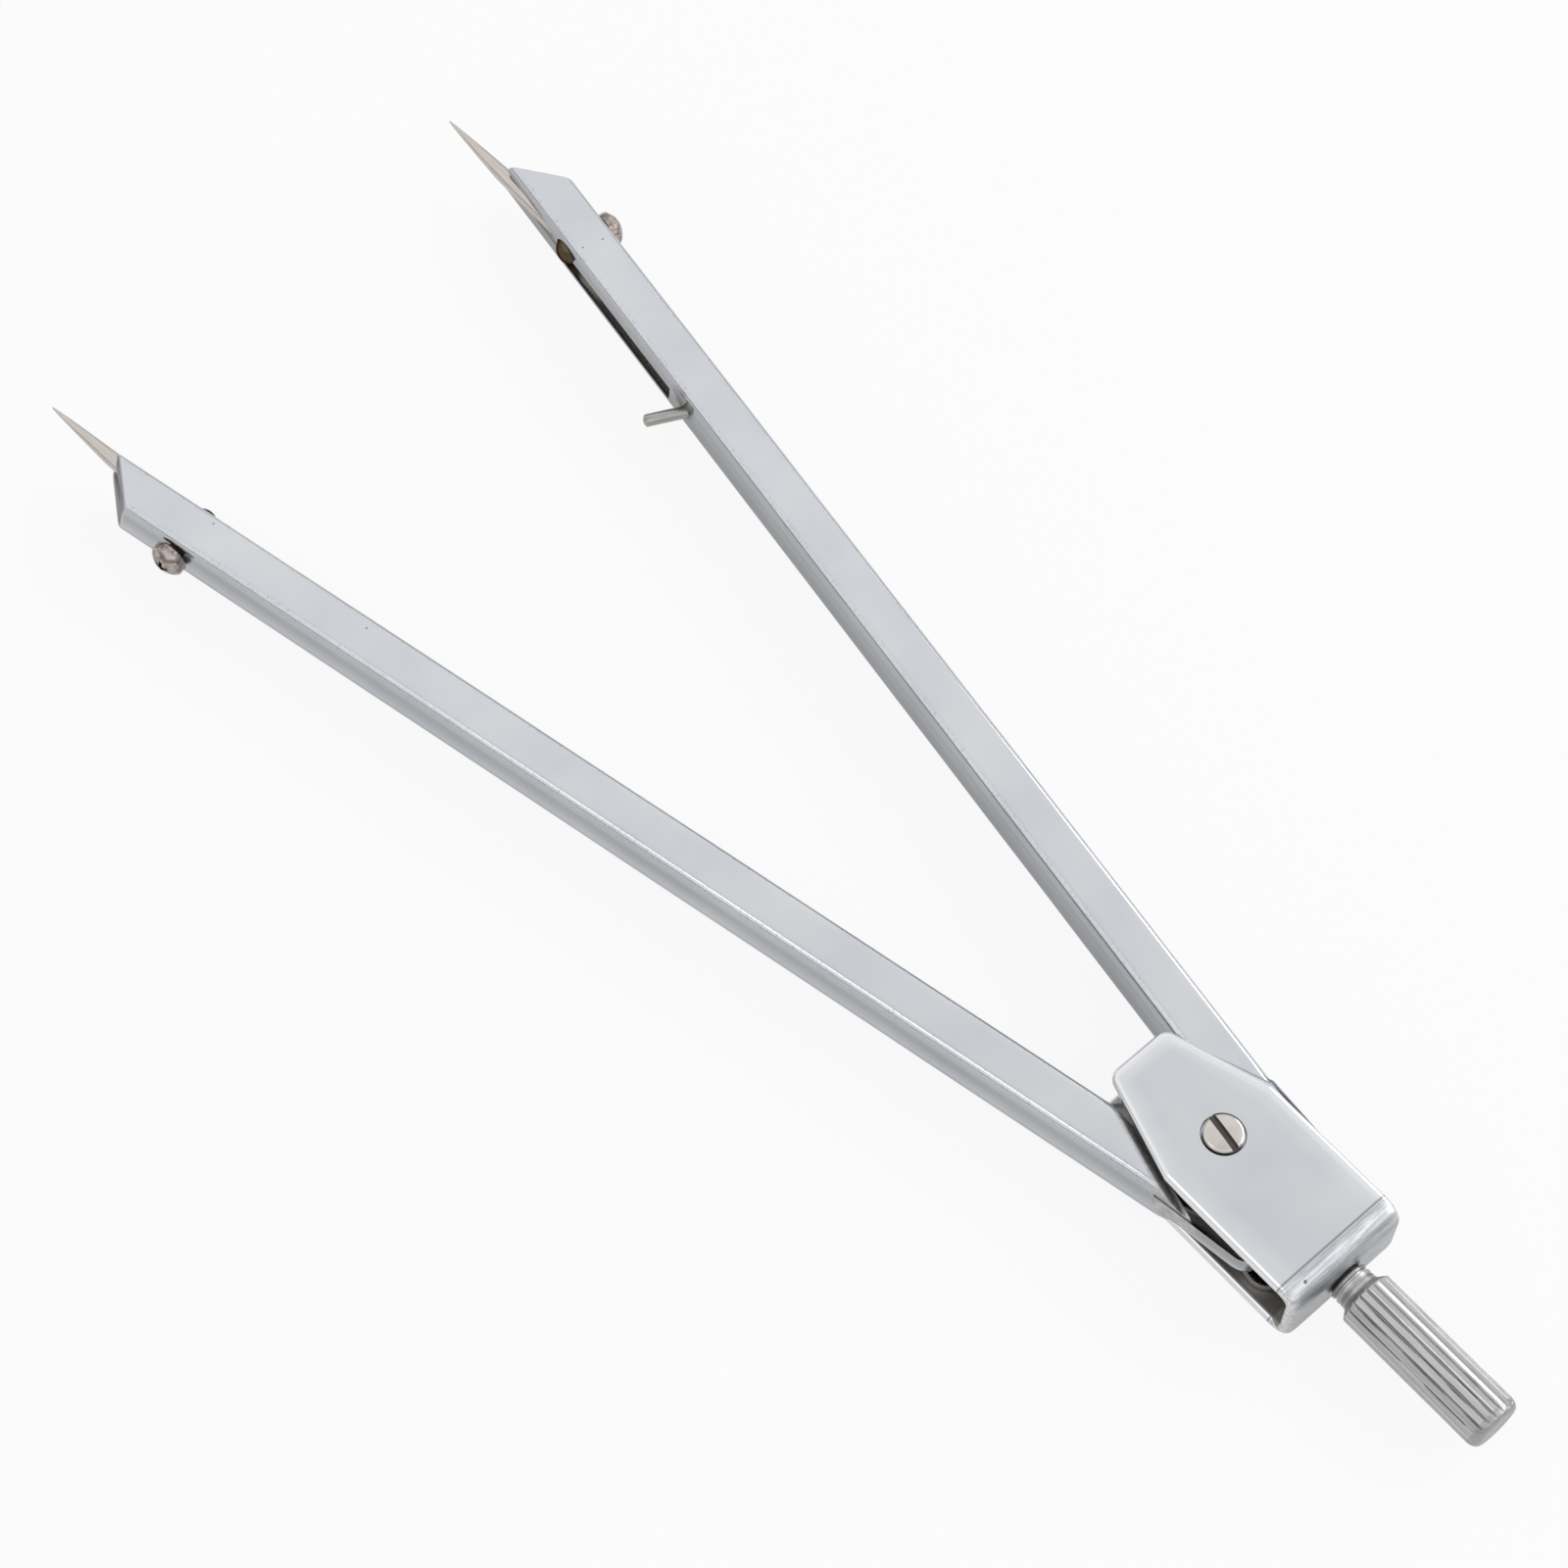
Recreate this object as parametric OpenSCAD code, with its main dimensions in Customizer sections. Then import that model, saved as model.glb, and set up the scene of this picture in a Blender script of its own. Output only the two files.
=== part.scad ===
// Friction divider: two folded sheet legs on one pivot screw in a bent yoke,
// with a fluted handle, clamped needle points and a stop pin.
// It lies on its back: +Z is the front with the screw head, the legs point to +Y.
// The origin is on the yoke's back face, halfway between the pivot and the bend.

/* [Yoke] */
// Width of the strip that the yoke is bent from
yoke_w = 12.1; // [11:0.1:14]
// Width of the cheeks at their tips
yoke_tip_w = 6.2; // [5:0.1:8]
// Thickness of the strip
yoke_sheet = 1.2; // [0.9:0.05:1.5]
// Pivot to the tip edge of the cheeks
yoke_front = 9.9; // [8.5:0.1:11.5]
// Pivot to the shoulders where the taper starts
yoke_shoulder = 0.5; // [-1:0.1:2]
// Pivot to the outside of the bend
yoke_back = 14.3; // [14.2:0.1:18]
// Outer radius of the two bends
yoke_bend_r = 2; // [1.7:0.1:2.4]
// Rounding of the tip corners
yoke_corner_r = 1.2; // [0.5:0.1:1.8]

/* [Pivot screw] */
// Diameter of the screw's shank
pivot_d = 2.5; // [2:0.1:3]
// Diameter of the screw's head
pivot_head_d = 3.4; // [3.2:0.1:4.4]
// Thickness of the head
pivot_head_h = 0.9; // [0.8:0.05:1.2]
// How far the head stands proud of the cheek
pivot_head_proud = 0.4; // [0.3:0.05:0.6]
// Width of the screwdriver slot
pivot_slot_w = 0.5; // [0.3:0.05:0.8]
// Depth of the screwdriver slot
pivot_slot_depth = 0.45; // [0.3:0.05:0.6]
// Outer diameter of the friction washers
washer_d = 6; // [5:0.1:8]

/* [Legs] */
// Width of a leg, seen from the front
leg_w = 4.2; // [4:0.1:5]
// Depth of a leg, front to back
leg_depth = 5.2; // [5:0.1:6]
// Thickness of the sheet
leg_sheet = 0.9; // [0.7:0.05:1]
// Rounding of the folds
fold_r = 0.65; // [0.3:0.05:0.9]
// How far the side walls are dished between the folds
wall_dish = 0.15; // [0.05:0.01:0.2]
// Pivot line to the inner face of a leg
leg_inner = 2.4; // [2.2:0.05:2.8]
// Pivot to the inner corner of the tip
leg_len = 114.8; // [110:0.5:130]
// How far the tip is cut back at the outer face
tip_cut = 4.4; // [3:0.1:6]
// Lean of the end wall, in degrees: its foot stands out past the front
tip_lean = 13; // [0:1:18]
// Left leg's angle from the yoke's axis
left_angle = 12.2; // [4:0.1:24]
// Right leg's angle from the yoke's axis
right_angle = 8.5; // [4:0.1:24]

/* [Leg heads] */
// Pivot to the step in the head, along the leg's inner face
step_inner = 9.2; // [8.8:0.1:11]
// Pivot to the step in the head, along the leg's outer face
step_outer = 1.5; // [1.2:0.1:3]
// Run of the sloped step
step_run = 1.2; // [0.6:0.1:1.4]
// Thickness of the left leg's flattened tongue
tongue_t = 2; // [1.8:0.1:2.2]
// Half width of the tongue on its free side
tongue_reach = 4.6; // [4:0.1:5]
// Pivot to the end of the tongue
tongue_tail = 8.1; // [7:0.1:9]
// Pivot to the tongue's shoulder on its free side
tongue_shoulder = 2.5; // [2:0.1:4]
// Rounding of the tongue's free corner
tongue_corner_r = 4; // [2:0.1:5]
// How far the tails flare out past the leg's outer face
tail_flare = 0.7; // [0:0.1:1]
// Radius of the fork's flanges round the pivot
fork_r = 5.4; // [5:0.1:5.5]
// Half width of the fork's tail on its free side
fork_reach = 3.7; // [3:0.1:3.9]
// Pivot to the end of the fork's tail
fork_tail = 11.4; // [10:0.1:11.6]
// Rounding of the other corners of the heads
tail_r = 2; // [1:0.1:2.4]

/* [Needles] */
// Diameter of a needle
needle_d = 1.45; // [1.2:0.05:1.6]
// Whole length of a needle
needle_len = 23.4; // [22:0.2:26]
// Length of its taper
needle_taper = 8; // [6:0.1:10]
// Width halfway along the taper
needle_mid_d = 0.86; // [0.6:0.02:1]
// Width of its point
needle_tip_d = 0.1; // [0.05:0.01:0.2]
// How far a needle reaches past its clamp
needle_reach = 19; // [18:0.1:21]
// Lean of a needle towards the other leg
needle_lean = 7; // [6:0.1:8]
// Outer wall of the leg to the needle's axis, at the clamp
needle_seat = 2.96; // [2.8:0.02:3.1]
// How far the needles lie behind the middle of the legs
needle_back = 0.05; // [0:0.05:0.4]

/* [Clamps] */
// Inner corner of a leg's tip back to the clamp screws
clamp_inset = 9.6; // [9:0.1:14]
// Diameter of a clamp screw's shank
clamp_d = 1.6; // [1.2:0.1:1.8]
// Diameter of its head
clamp_head_d = 3.4; // [2.8:0.1:3.6]
// Height of its head
clamp_head_h = 1.7; // [1.3:0.1:2]
// Radius of the head's domed top
clamp_dome_r = 2.1; // [2:0.1:3]
// Width of the cross recess
clamp_cross_w = 0.45; // [0.3:0.05:0.6]
// Length of the cross recess
clamp_cross_len = 1.8; // [1.2:0.1:2]
// Depth of the cross recess
clamp_cross_depth = 0.6; // [0.4:0.05:0.7]
// Diameter of an eye stud
eye_d = 2.6; // [2.4:0.1:2.8]
// How far an eye stud stands out of the inner face
eye_proud = 0.95; // [0.6:0.05:1.1]
// Radius of the stud's domed end
eye_dome_r = 1.5; // [1.45:0.05:2]
// Distance from an eye stud's outer end to the leg's outer wall
eye_gap = 0.3; // [0.2:0.05:0.5]
// Inner corner of a leg's tip back to the end of the needle slot
slot_len = 27.6; // [22:0.1:30]
// Needle's axis up to the upper edge of its slot
slot_rise = 0.2; // [0.1:0.01:0.4]

/* [Stop pin] */
// End of the needle slot back to the stop pin
pin_gap = 2.6; // [1.8:0.1:6]
// Diameter of the pin
pin_d = 1.15; // [0.8:0.05:1.3]
// Length of the pin outside the leg
pin_out = 3.75; // [3:0.05:4]
// Length of the pin inside the leg
pin_in = 1.6; // [1.2:0.1:2]
// Lean of the pin towards the points
pin_lean = 18; // [0:1:20]
// How far the pin lies behind the middle of the leg
pin_back = 0.6; // [0:0.1:0.8]
// Radius of its domed end
pin_dome_r = 0.8; // [0.75:0.05:1.5]

/* [Handle] */
// Diameter over the flutes
handle_d = 5; // [4.4:0.1:6]
// Length of the handle outside the yoke
handle_len = 16.5; // [14:0.5:22]
// Diameter of the neck
neck_d = 3.6; // [3.2:0.1:4]
// Length of the neck
neck_len = 1.7; // [1.2:0.1:2.5]
// Length of the cone between neck and grip
cone_len = 0.5; // [0.3:0.1:1]
// Length of the rounded end
end_len = 0.9; // [0.6:0.1:1.4]
// Diameter of the flat at the end
end_d = 3.6; // [3:0.1:4.2]
// Distance from the yoke to the ring groove in the neck
groove_at = 0.5; // [0.3:0.1:0.8]
// Width of the ring groove
groove_w = 0.3; // [0.2:0.05:0.4]
// Depth of the ring groove
groove_depth = 0.2; // [0.1:0.05:0.3]
// Number of flutes
flutes = 20; // [16:1:24]
// Depth of the flutes
flute_depth = 0.17; // [0.1:0.01:0.18]
// Radius of the flutes
flute_r = 0.18; // [0.18:0.01:0.24]
// Diameter of the shank in the yoke
shank_d = 2.3; // [2:0.1:2.6]
// Diameter of the peened head inside the yoke
peen_d = 3; // [2.7:0.05:3.1]
// Thickness of the peened head
peen_h = 0.7; // [0.5:0.05:0.9]

/* [Fits] */
// Gap between a leg and each cheek
cheek_play = 0.1; // [0.05:0.01:0.15]
// Radial play of the legs and washers on the pivot screw
pivot_play = 0.05; // [0.03:0.01:0.1]
// Gap on each face of the friction washers
washer_play = 0.05; // [0.02:0.01:0.1]
// Radial play of a needle in its eye
needle_play = 0.05; // [0.03:0.01:0.1]
// Radial play of screws, pins and shanks in their seats
seat_play = 0.02; // [0.01:0.01:0.05]
// Radial play of the eye studs and screw shanks in the leg's walls
hole_play = 0.1; // [0.05:0.01:0.2]
// Gap under the clamp screw's head, and from its end to the needle
clamp_play = 0.12; // [0.05:0.01:0.2]

/* [Hidden] */
$fn = 64;
// Overlap that makes cuts and joined shapes run clean through each other
cut = 1;

// Heights, from the back face up
yoke_t = leg_depth + 2 * cheek_play + 2 * yoke_sheet;
leg_z = yoke_sheet + cheek_play;
mid_z = yoke_t / 2;
tongue_z = mid_z - tongue_t / 2;
flange_z = leg_z + leg_depth - leg_sheet;
needle_z = mid_z - needle_back;
pin_z = mid_z - pin_back;
washer_t = (leg_depth - 2 * leg_sheet - tongue_t) / 2 - 2 * washer_play;

// Places along and across the parts
pivot_y = (yoke_back - yoke_bend_r) / 2;
leg_outer = leg_inner + leg_w;
tail_outer = leg_outer + tail_flare;
leg_end = leg_len + leg_depth;
clamp_at = leg_len - clamp_inset;
slot_from = leg_len - slot_len;
pin_at = slot_from - pin_gap;
needle_x = leg_outer - needle_seat;
needle_r = needle_d / 2;
pivot_hole_d = pivot_d + 2 * pivot_play;
slot_top = needle_z + slot_rise;
slot_bottom = leg_z + leg_sheet;
// Overlap of the flat leg heads with the folded tubes
lap = leg_sheet / 2;
// How far roundings reach past the edges that they join, so that the two cross
round_lap = 0.002;

steel = [0.78, 0.79, 0.82];
nickel = [0.80, 0.76, 0.72];
dark_steel = [0.62, 0.63, 0.65];

// Unit vector from one point to another
function toward(from, to) = (to - from) / norm(to - from);

// Distance from a corner to the ends of its rounding
function trim(corner, before, after, r) =
    r / tan(acos(toward(corner, before) * toward(corner, after)) / 2);

// Centre of the rounding at a corner
function corner_centre(corner, before, after, r) =
    let (way = toward(corner, before) + toward(corner, after))
    let (half = acos(toward(corner, before) * toward(corner, after)) / 2)
    corner + way / norm(way) * r / sin(half);

// Point where a line from outside touches a circle round the pivot
function tangent_point(from, r, side) =
    let (turn = atan2(from[1], from[0]) + side * acos(r / norm(from)))
    r * [cos(turn), sin(turn)];

// Outline with each outward corner rounded; corners is a list of [point, radius]
module rounded_outline(corners) {
    n = len(corners);
    at = [for (c = corners) c[0]];
    polygon([
        for (i = [0 : n - 1])
            let (before = at[(i + n - 1) % n])
            let (after = at[(i + 1) % n])
            let (r = corners[i][1])
            each r == 0 ? [at[i]] : [
                at[i] + toward(at[i], before) * trim(at[i], before, after, r),
                at[i] + toward(at[i], after) * trim(at[i], before, after, r)
            ]
    ]);
    for (i = [0 : n - 1]) {
        r = corners[i][1];
        if (r > 0)
            translate(corner_centre(at[i], at[(i + n - 1) % n], at[(i + 1) % n], r))
                circle(r + round_lap);
    }
}

// Rectangle from a corner point, with all four corners rounded
module rounded_box(w, h, r) {
    translate([r, 0])
        square([w - 2 * r, h]);
    translate([0, r])
        square([w, h - 2 * r]);
    for (x = [r, w - r], y = [r, h - r])
        translate([x, y])
            circle(r);
}

// Extrudes an outline drawn in X and Z along +Y
module along_y(from, to) {
    translate([0, to, 0])
        rotate([90, 0, 0])
            linear_extrude(to - from)
                children();
}

// Extrudes an outline drawn in Y and Z across the yoke
module across_x(w) {
    translate([-w / 2, 0, 0])
        rotate([90, 0, 90])
            linear_extrude(w)
                children();
}

// Places a shape drawn round the pivot
module at_pivot() {
    translate([0, pivot_y, 0])
        children();
}

// Places a shape drawn along a leg: +Y runs to the tip and +X to the outer face
module at_right_leg() {
    at_pivot()
        rotate([0, 0, -right_angle])
            children();
}

module at_left_leg() {
    at_pivot()
        rotate([0, 0, left_angle])
            mirror([1, 0, 0])
                children();
}

// Places a shape drawn along +Z on a clamp's axis, from the leg's outer face inwards
module on_clamp() {
    translate([leg_outer, clamp_at, needle_z])
        rotate([0, -90, 0])
            children();
}

// Places a shape drawn along +Z on a needle's axis, from its clamp to its point
module on_needle() {
    translate([needle_x, clamp_at, needle_z])
        rotate([0, 0, needle_lean])
            rotate([-90, 0, 0])
                children();
}

// Places a shape drawn along +Z on the stop pin's axis, out of the leg's inner face
module on_pin() {
    translate([leg_inner, pin_at, pin_z])
        rotate([0, 0, -pin_lean])
            rotate([0, -90, 0])
                children();
}

// Side view of the bent strip: its outside, or the space inside it
module yoke_side(inset) {
    r = yoke_bend_r - inset;
    back = -yoke_back + inset;
    translate([back + r, inset])
        square([yoke_front + cut - back - r, yoke_t - 2 * inset]);
    translate([back, inset + r])
        square([2 * r, yoke_t - 2 * inset - 2 * r]);
    for (z = [inset + r, yoke_t - inset - r])
        translate([back + r, z])
            circle(r);
}

module yoke_outline() {
    half = yoke_w / 2;
    tip = yoke_tip_w / 2;
    rounded_outline([
        [[-half, -yoke_back - cut], 0],
        [[half, -yoke_back - cut], 0],
        [[half, yoke_shoulder], yoke_corner_r],
        [[tip, yoke_front], yoke_corner_r],
        [[-tip, yoke_front], yoke_corner_r],
        [[-half, yoke_shoulder], yoke_corner_r]
    ]);
}

module yoke() {
    color(steel)
        at_pivot()
            difference() {
                intersection() {
                    across_x(yoke_w + 2 * cut)
                        difference() {
                            yoke_side(0);
                            yoke_side(yoke_sheet);
                        }
                    translate([0, 0, -cut])
                        linear_extrude(yoke_t + 2 * cut)
                            yoke_outline();
                }
                translate([0, 0, -cut])
                    cylinder(d = pivot_d + 2 * seat_play, h = yoke_t + 2 * cut);
                translate([0, 0, yoke_t + pivot_head_proud - pivot_head_h])
                    cylinder(d = pivot_head_d + 2 * hole_play, h = pivot_head_h + cut);
                translate([0, -yoke_back - cut, mid_z])
                    rotate([-90, 0, 0])
                        cylinder(d = shank_d + 2 * seat_play, h = yoke_sheet + 2 * cut);
            }
}

// Half section of the handle, turned round its own axis, with the yoke's end face at zero
module handle_profile() {
    inside = yoke_sheet + seat_play;
    polygon([
        [0, inside + peen_h],
        [peen_d / 2, inside + peen_h],
        [peen_d / 2, inside],
        [shank_d / 2, inside],
        [shank_d / 2, -seat_play],
        [neck_d / 2, -seat_play],
        [neck_d / 2, -groove_at],
        [neck_d / 2 - groove_depth, -groove_at],
        [neck_d / 2 - groove_depth, -groove_at - groove_w],
        [neck_d / 2, -groove_at - groove_w],
        [neck_d / 2, -neck_len],
        [handle_d / 2, -neck_len - cone_len],
        [handle_d / 2, -handle_len + end_len],
        [end_d / 2, -handle_len],
        [0, -handle_len]
    ]);
}

module handle() {
    grip_r = handle_d / 2 - flute_depth + flute_r;
    color(dark_steel)
        at_pivot()
            translate([0, -yoke_back, mid_z])
                rotate([-90, 0, 0])
                    difference() {
                        rotate_extrude()
                            handle_profile();
                        for (i = [0 : flutes - 1])
                            rotate([0, 0, i * 360 / flutes])
                                translate([grip_r, 0, -handle_len + end_len])
                                    cylinder(r = flute_r, h = handle_len - end_len - neck_len, $fn = 24);
                    }
}

module pivot_screw() {
    top = yoke_t + pivot_head_proud;
    color(nickel)
        at_pivot()
            difference() {
                union() {
                    translate([0, 0, seat_play])
                        cylinder(d = pivot_d, h = top - pivot_head_h);
                    translate([0, 0, top - pivot_head_h])
                        cylinder(d = pivot_head_d, h = pivot_head_h);
                }
                translate([-pivot_slot_w / 2, -pivot_head_d, top - pivot_slot_depth])
                    cube([pivot_slot_w, 2 * pivot_head_d, pivot_slot_depth + cut]);
            }
}

module washer(z) {
    color(nickel)
        at_pivot()
            translate([0, 0, z])
                difference() {
                    cylinder(d = washer_d, h = washer_t);
                    translate([0, 0, -cut])
                        cylinder(d = pivot_hole_d, h = washer_t + 2 * cut);
                }
}

module front_washer() {
    washer(tongue_z + tongue_t + washer_play);
}

module back_washer() {
    washer(tongue_z - washer_play - washer_t);
}

// Head end of the folded tube along the leg, at a distance x from the pivot line
function step_at(x) = step_inner + (x - leg_inner) * (step_outer - step_inner) / leg_w;

// Section of a leg: the folded outside, and the space inside the sheet
module leg_section() {
    margin = fold_r / 2;
    chord = leg_depth - 2 * (fold_r + margin);
    dish_r = (chord * chord / 4 + wall_dish * wall_dish) / (2 * wall_dish);
    translate([leg_inner, leg_z])
        difference() {
            rounded_box(leg_w, leg_depth, fold_r);
            for (x = [wall_dish - dish_r, leg_w - wall_dish + dish_r])
                translate([x, leg_depth / 2])
                    circle(dish_r, $fn = 180);
        }
}

module leg_hollow() {
    translate([leg_inner + leg_sheet, leg_z + leg_sheet])
        square([leg_w - 2 * leg_sheet, leg_depth - 2 * leg_sheet]);
}

// Front view of the folded part of a leg, past both faces and the tip: run_on lengthens its head
module leg_plan(run_on) {
    left = leg_inner - cut;
    right = leg_outer + cut;
    polygon([
        [left, step_at(left) - run_on],
        [right, step_at(right) - run_on],
        [right, leg_end],
        [left, leg_end]
    ]);
}

// Block past the slanted and leaning tip, starting at a depth behind its face
module tip_block(depth) {
    size = 4 * leg_depth;
    translate([leg_inner, leg_len, leg_z + leg_depth])
        rotate([0, 0, atan2(-tip_cut, leg_w)])
            rotate([tip_lean, 0, 0])
                translate([-size, -depth, -size])
                    cube(2 * size);
}

// The folded tube from its head to its closed tip, with its slot and holes
module leg_tube(run_on, hollow_run_on) {
    head = step_outer - run_on - leg_w;
    difference() {
        intersection() {
            along_y(head, leg_end + cut)
                leg_section();
            linear_extrude(yoke_t)
                leg_plan(run_on);
        }
        tip_block(0);
        difference() {
            intersection() {
                along_y(head - cut, leg_end + cut)
                    leg_hollow();
                linear_extrude(yoke_t)
                    leg_plan(hollow_run_on);
            }
            tip_block(leg_sheet);
        }
        translate([leg_inner - cut, slot_from, slot_bottom])
            cube([leg_sheet + hole_play + cut, leg_end - slot_from, slot_top - slot_bottom]);
        on_needle()
            translate([0, 0, needle_reach - needle_len])
                cylinder(r = needle_r + hole_play, h = needle_len);
        on_clamp()
            translate([0, 0, -cut])
                cylinder(d = clamp_d + 2 * hole_play, h = leg_sheet + 2 * cut);
        on_clamp()
            translate([0, 0, leg_w - leg_sheet - cut])
                cylinder(d = eye_d + 2 * hole_play, h = leg_sheet + 2 * cut);
    }
}

module pivot_hole() {
    cylinder(d = pivot_hole_d, h = yoke_t);
}

// Flat tongue round the pivot, with a tail that flares out
module tongue_outline() {
    rounded_outline([
        [[leg_inner, step_inner + lap], 0],
        [[leg_outer, step_outer + lap], 0],
        [[tail_outer, -tongue_tail], tail_r],
        [[-tongue_reach, -tongue_tail], tongue_corner_r],
        [[-tongue_reach, tongue_shoulder], tail_r]
    ]);
}

// Wedge that opens from the middle of the tongue to past the tube, and so gives the step its slope
module step_wedge() {
    step = [leg_w, step_outer - step_inner];
    slope = (leg_depth - tongue_t) / 2 / step_run;
    apex = -step_run - tongue_t / 2 / slope;
    half = slope * (leg_len - apex);
    translate([leg_inner, step_inner, 0])
        rotate([0, 0, atan2(step[1], step[0])])
            translate([-leg_len, 0, 0])
                rotate([90, 0, 90])
                    linear_extrude(leg_len + norm(step) + 2 * leg_w)
                        polygon([
                            [apex, mid_z],
                            [leg_len, mid_z - half],
                            [leg_len, mid_z + half]
                        ]);
}

module left_leg() {
    color(steel)
        at_left_leg()
            difference() {
                union() {
                    intersection() {
                        leg_tube(2 * leg_w, -leg_sheet);
                        step_wedge();
                    }
                    translate([0, 0, tongue_z])
                        linear_extrude(tongue_t)
                            tongue_outline();
                }
                pivot_hole();
            }
}

// One flange of the fork: a round lug on the pivot with a broad tail
module fork_outline() {
    lug_start = [leg_inner, step_inner + lap];
    circle(fork_r);
    polygon([
        lug_start,
        [leg_outer, step_outer + lap],
        [0, 0],
        tangent_point(lug_start, fork_r - round_lap, 1)
    ]);
    rounded_outline([
        [[leg_outer, step_outer + lap], 0],
        [[tail_outer, -tongue_tail], tail_r],
        [[fork_reach, -fork_tail], tail_r],
        [[-fork_reach, -fork_tail], tail_r],
        [[-fork_reach, 0], 0]
    ]);
}

module right_leg() {
    color(steel)
        at_right_leg()
            difference() {
                union() {
                    leg_tube(0, cut);
                    for (z = [leg_z, flange_z])
                        translate([0, 0, z])
                            linear_extrude(leg_sheet)
                                fork_outline();
                }
                pivot_hole();
                on_pin()
                    translate([0, 0, -pin_in])
                        cylinder(d = pin_d + 2 * seat_play, h = pin_in + pin_out);
            }
}

module needle() {
    rotate_extrude()
        polygon([
            [0, needle_reach - needle_len],
            [needle_r, needle_reach - needle_len],
            [needle_r, needle_reach - needle_taper],
            [needle_mid_d / 2, needle_reach - needle_taper / 2],
            [needle_tip_d / 2, needle_reach],
            [0, needle_reach]
        ]);
}

module left_needle() {
    color(nickel)
        at_left_leg()
            on_needle()
                needle();
}

module right_needle() {
    color(nickel)
        at_right_leg()
            on_needle()
                needle();
}

// Stud with a domed end, an eye for the needle and a thread for the clamp screw
module eye() {
    tip = leg_w + eye_proud;
    start = leg_sheet + eye_gap;
    difference() {
        intersection() {
            on_clamp()
                translate([0, 0, start])
                    cylinder(d = eye_d, h = tip - start);
            on_clamp()
                translate([0, 0, tip - eye_dome_r])
                    union() {
                        sphere(eye_dome_r);
                        translate([0, 0, -leg_w])
                            cylinder(d = 2 * eye_d, h = leg_w);
                    }
        }
        on_needle()
            translate([0, 0, -eye_d])
                cylinder(r = needle_r + needle_play, h = 2 * eye_d);
        on_clamp()
            cylinder(d = clamp_d + 2 * seat_play, h = needle_seat);
    }
}

module left_eye() {
    color(dark_steel)
        at_left_leg()
            eye();
}

module right_eye() {
    color(dark_steel)
        at_right_leg()
            eye();
}

// Round head with a cross recess, and a shank that ends on the needle
module clamp_screw() {
    shank = needle_seat - needle_r - clamp_play;
    on_clamp()
        difference() {
            union() {
                translate([0, 0, -clamp_play])
                    cylinder(d = clamp_d, h = shank + clamp_play);
                translate([0, 0, -clamp_play - clamp_head_h])
                    intersection() {
                        cylinder(d = clamp_head_d, h = clamp_head_h);
                        translate([0, 0, clamp_dome_r])
                            union() {
                                sphere(clamp_dome_r);
                                cylinder(d = 2 * clamp_head_d, h = clamp_head_h);
                            }
                    }
            }
            for (turn = [0, 90])
                rotate([0, 0, turn])
                    translate([-clamp_cross_len / 2, -clamp_cross_w / 2, -clamp_play - clamp_head_h - cut])
                        cube([clamp_cross_len, clamp_cross_w, clamp_cross_depth + cut]);
        }
}

module left_clamp_screw() {
    color(nickel)
        at_left_leg()
            clamp_screw();
}

module right_clamp_screw() {
    color(nickel)
        at_right_leg()
            clamp_screw();
}

module stop_pin() {
    color(dark_steel)
        at_right_leg()
            on_pin()
                intersection() {
                    translate([0, 0, -pin_in])
                        cylinder(d = pin_d, h = pin_in + pin_out);
                    translate([0, 0, pin_out - pin_dome_r])
                        union() {
                            sphere(pin_dome_r);
                            translate([0, 0, -pin_in - pin_out])
                                cylinder(d = 2 * pin_d, h = pin_in + pin_out);
                        }
                }
}

yoke();
handle();
pivot_screw();
front_washer();
back_washer();
left_leg();
right_leg();
left_needle();
right_needle();
left_eye();
right_eye();
left_clamp_screw();
right_clamp_screw();
stop_pin();
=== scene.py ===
import math

import bmesh
import bpy
from mathutils import Matrix, Quaternion, Vector, noise


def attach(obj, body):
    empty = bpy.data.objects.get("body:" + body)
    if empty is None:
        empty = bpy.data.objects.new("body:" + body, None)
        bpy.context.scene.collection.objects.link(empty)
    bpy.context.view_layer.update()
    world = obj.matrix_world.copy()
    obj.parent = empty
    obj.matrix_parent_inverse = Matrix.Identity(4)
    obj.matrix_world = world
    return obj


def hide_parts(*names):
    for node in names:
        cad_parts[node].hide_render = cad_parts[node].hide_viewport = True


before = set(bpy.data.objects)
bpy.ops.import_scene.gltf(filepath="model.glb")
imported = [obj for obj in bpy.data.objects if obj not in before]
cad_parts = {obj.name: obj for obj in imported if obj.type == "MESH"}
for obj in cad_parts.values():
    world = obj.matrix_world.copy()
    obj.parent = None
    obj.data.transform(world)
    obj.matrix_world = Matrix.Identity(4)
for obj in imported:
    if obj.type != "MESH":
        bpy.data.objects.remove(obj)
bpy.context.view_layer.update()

# Friction divider lying on its back. Every piece is drawn in mm in its own axes and then placed
# on the CAD frame in metres, with its drawing coordinates kept in the attribute "lay" for the materials.
mm = 0.001
core = 0.02  # lathe profiles stop this short of their axis
past = 1  # cutters run this far past what they cut
margin = 0.05  # inner faces lie this far inside the boxes that mark them
weld = 1e-4  # points closer than this become one
scene = bpy.context.scene


# colour and nodes

def linear(hexColour):
    channels = [int(hexColour[i:i + 2], 16) / 255 for i in (1, 3, 5)]
    return [c / 12.92 if c <= 0.04045 else ((c + 0.055) / 1.055) ** 2.4 for c in channels] + [1.0]


def addNode(tree, kind, settings=None, links=None):
    node = tree.nodes.new("ShaderNode" + kind)
    for name, value in (settings or {}).items():
        if isinstance(name, int) or name in node.inputs:
            node.inputs[name].default_value = value
        else:
            setattr(node, name, value)
    for name, source in (links or {}).items():  # a socket, or a node for its first output
        tree.links.new(source.outputs[0] if hasattr(source, "outputs") else source, node.inputs[name])
    return node


# mesh tools, all in mm

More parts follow.
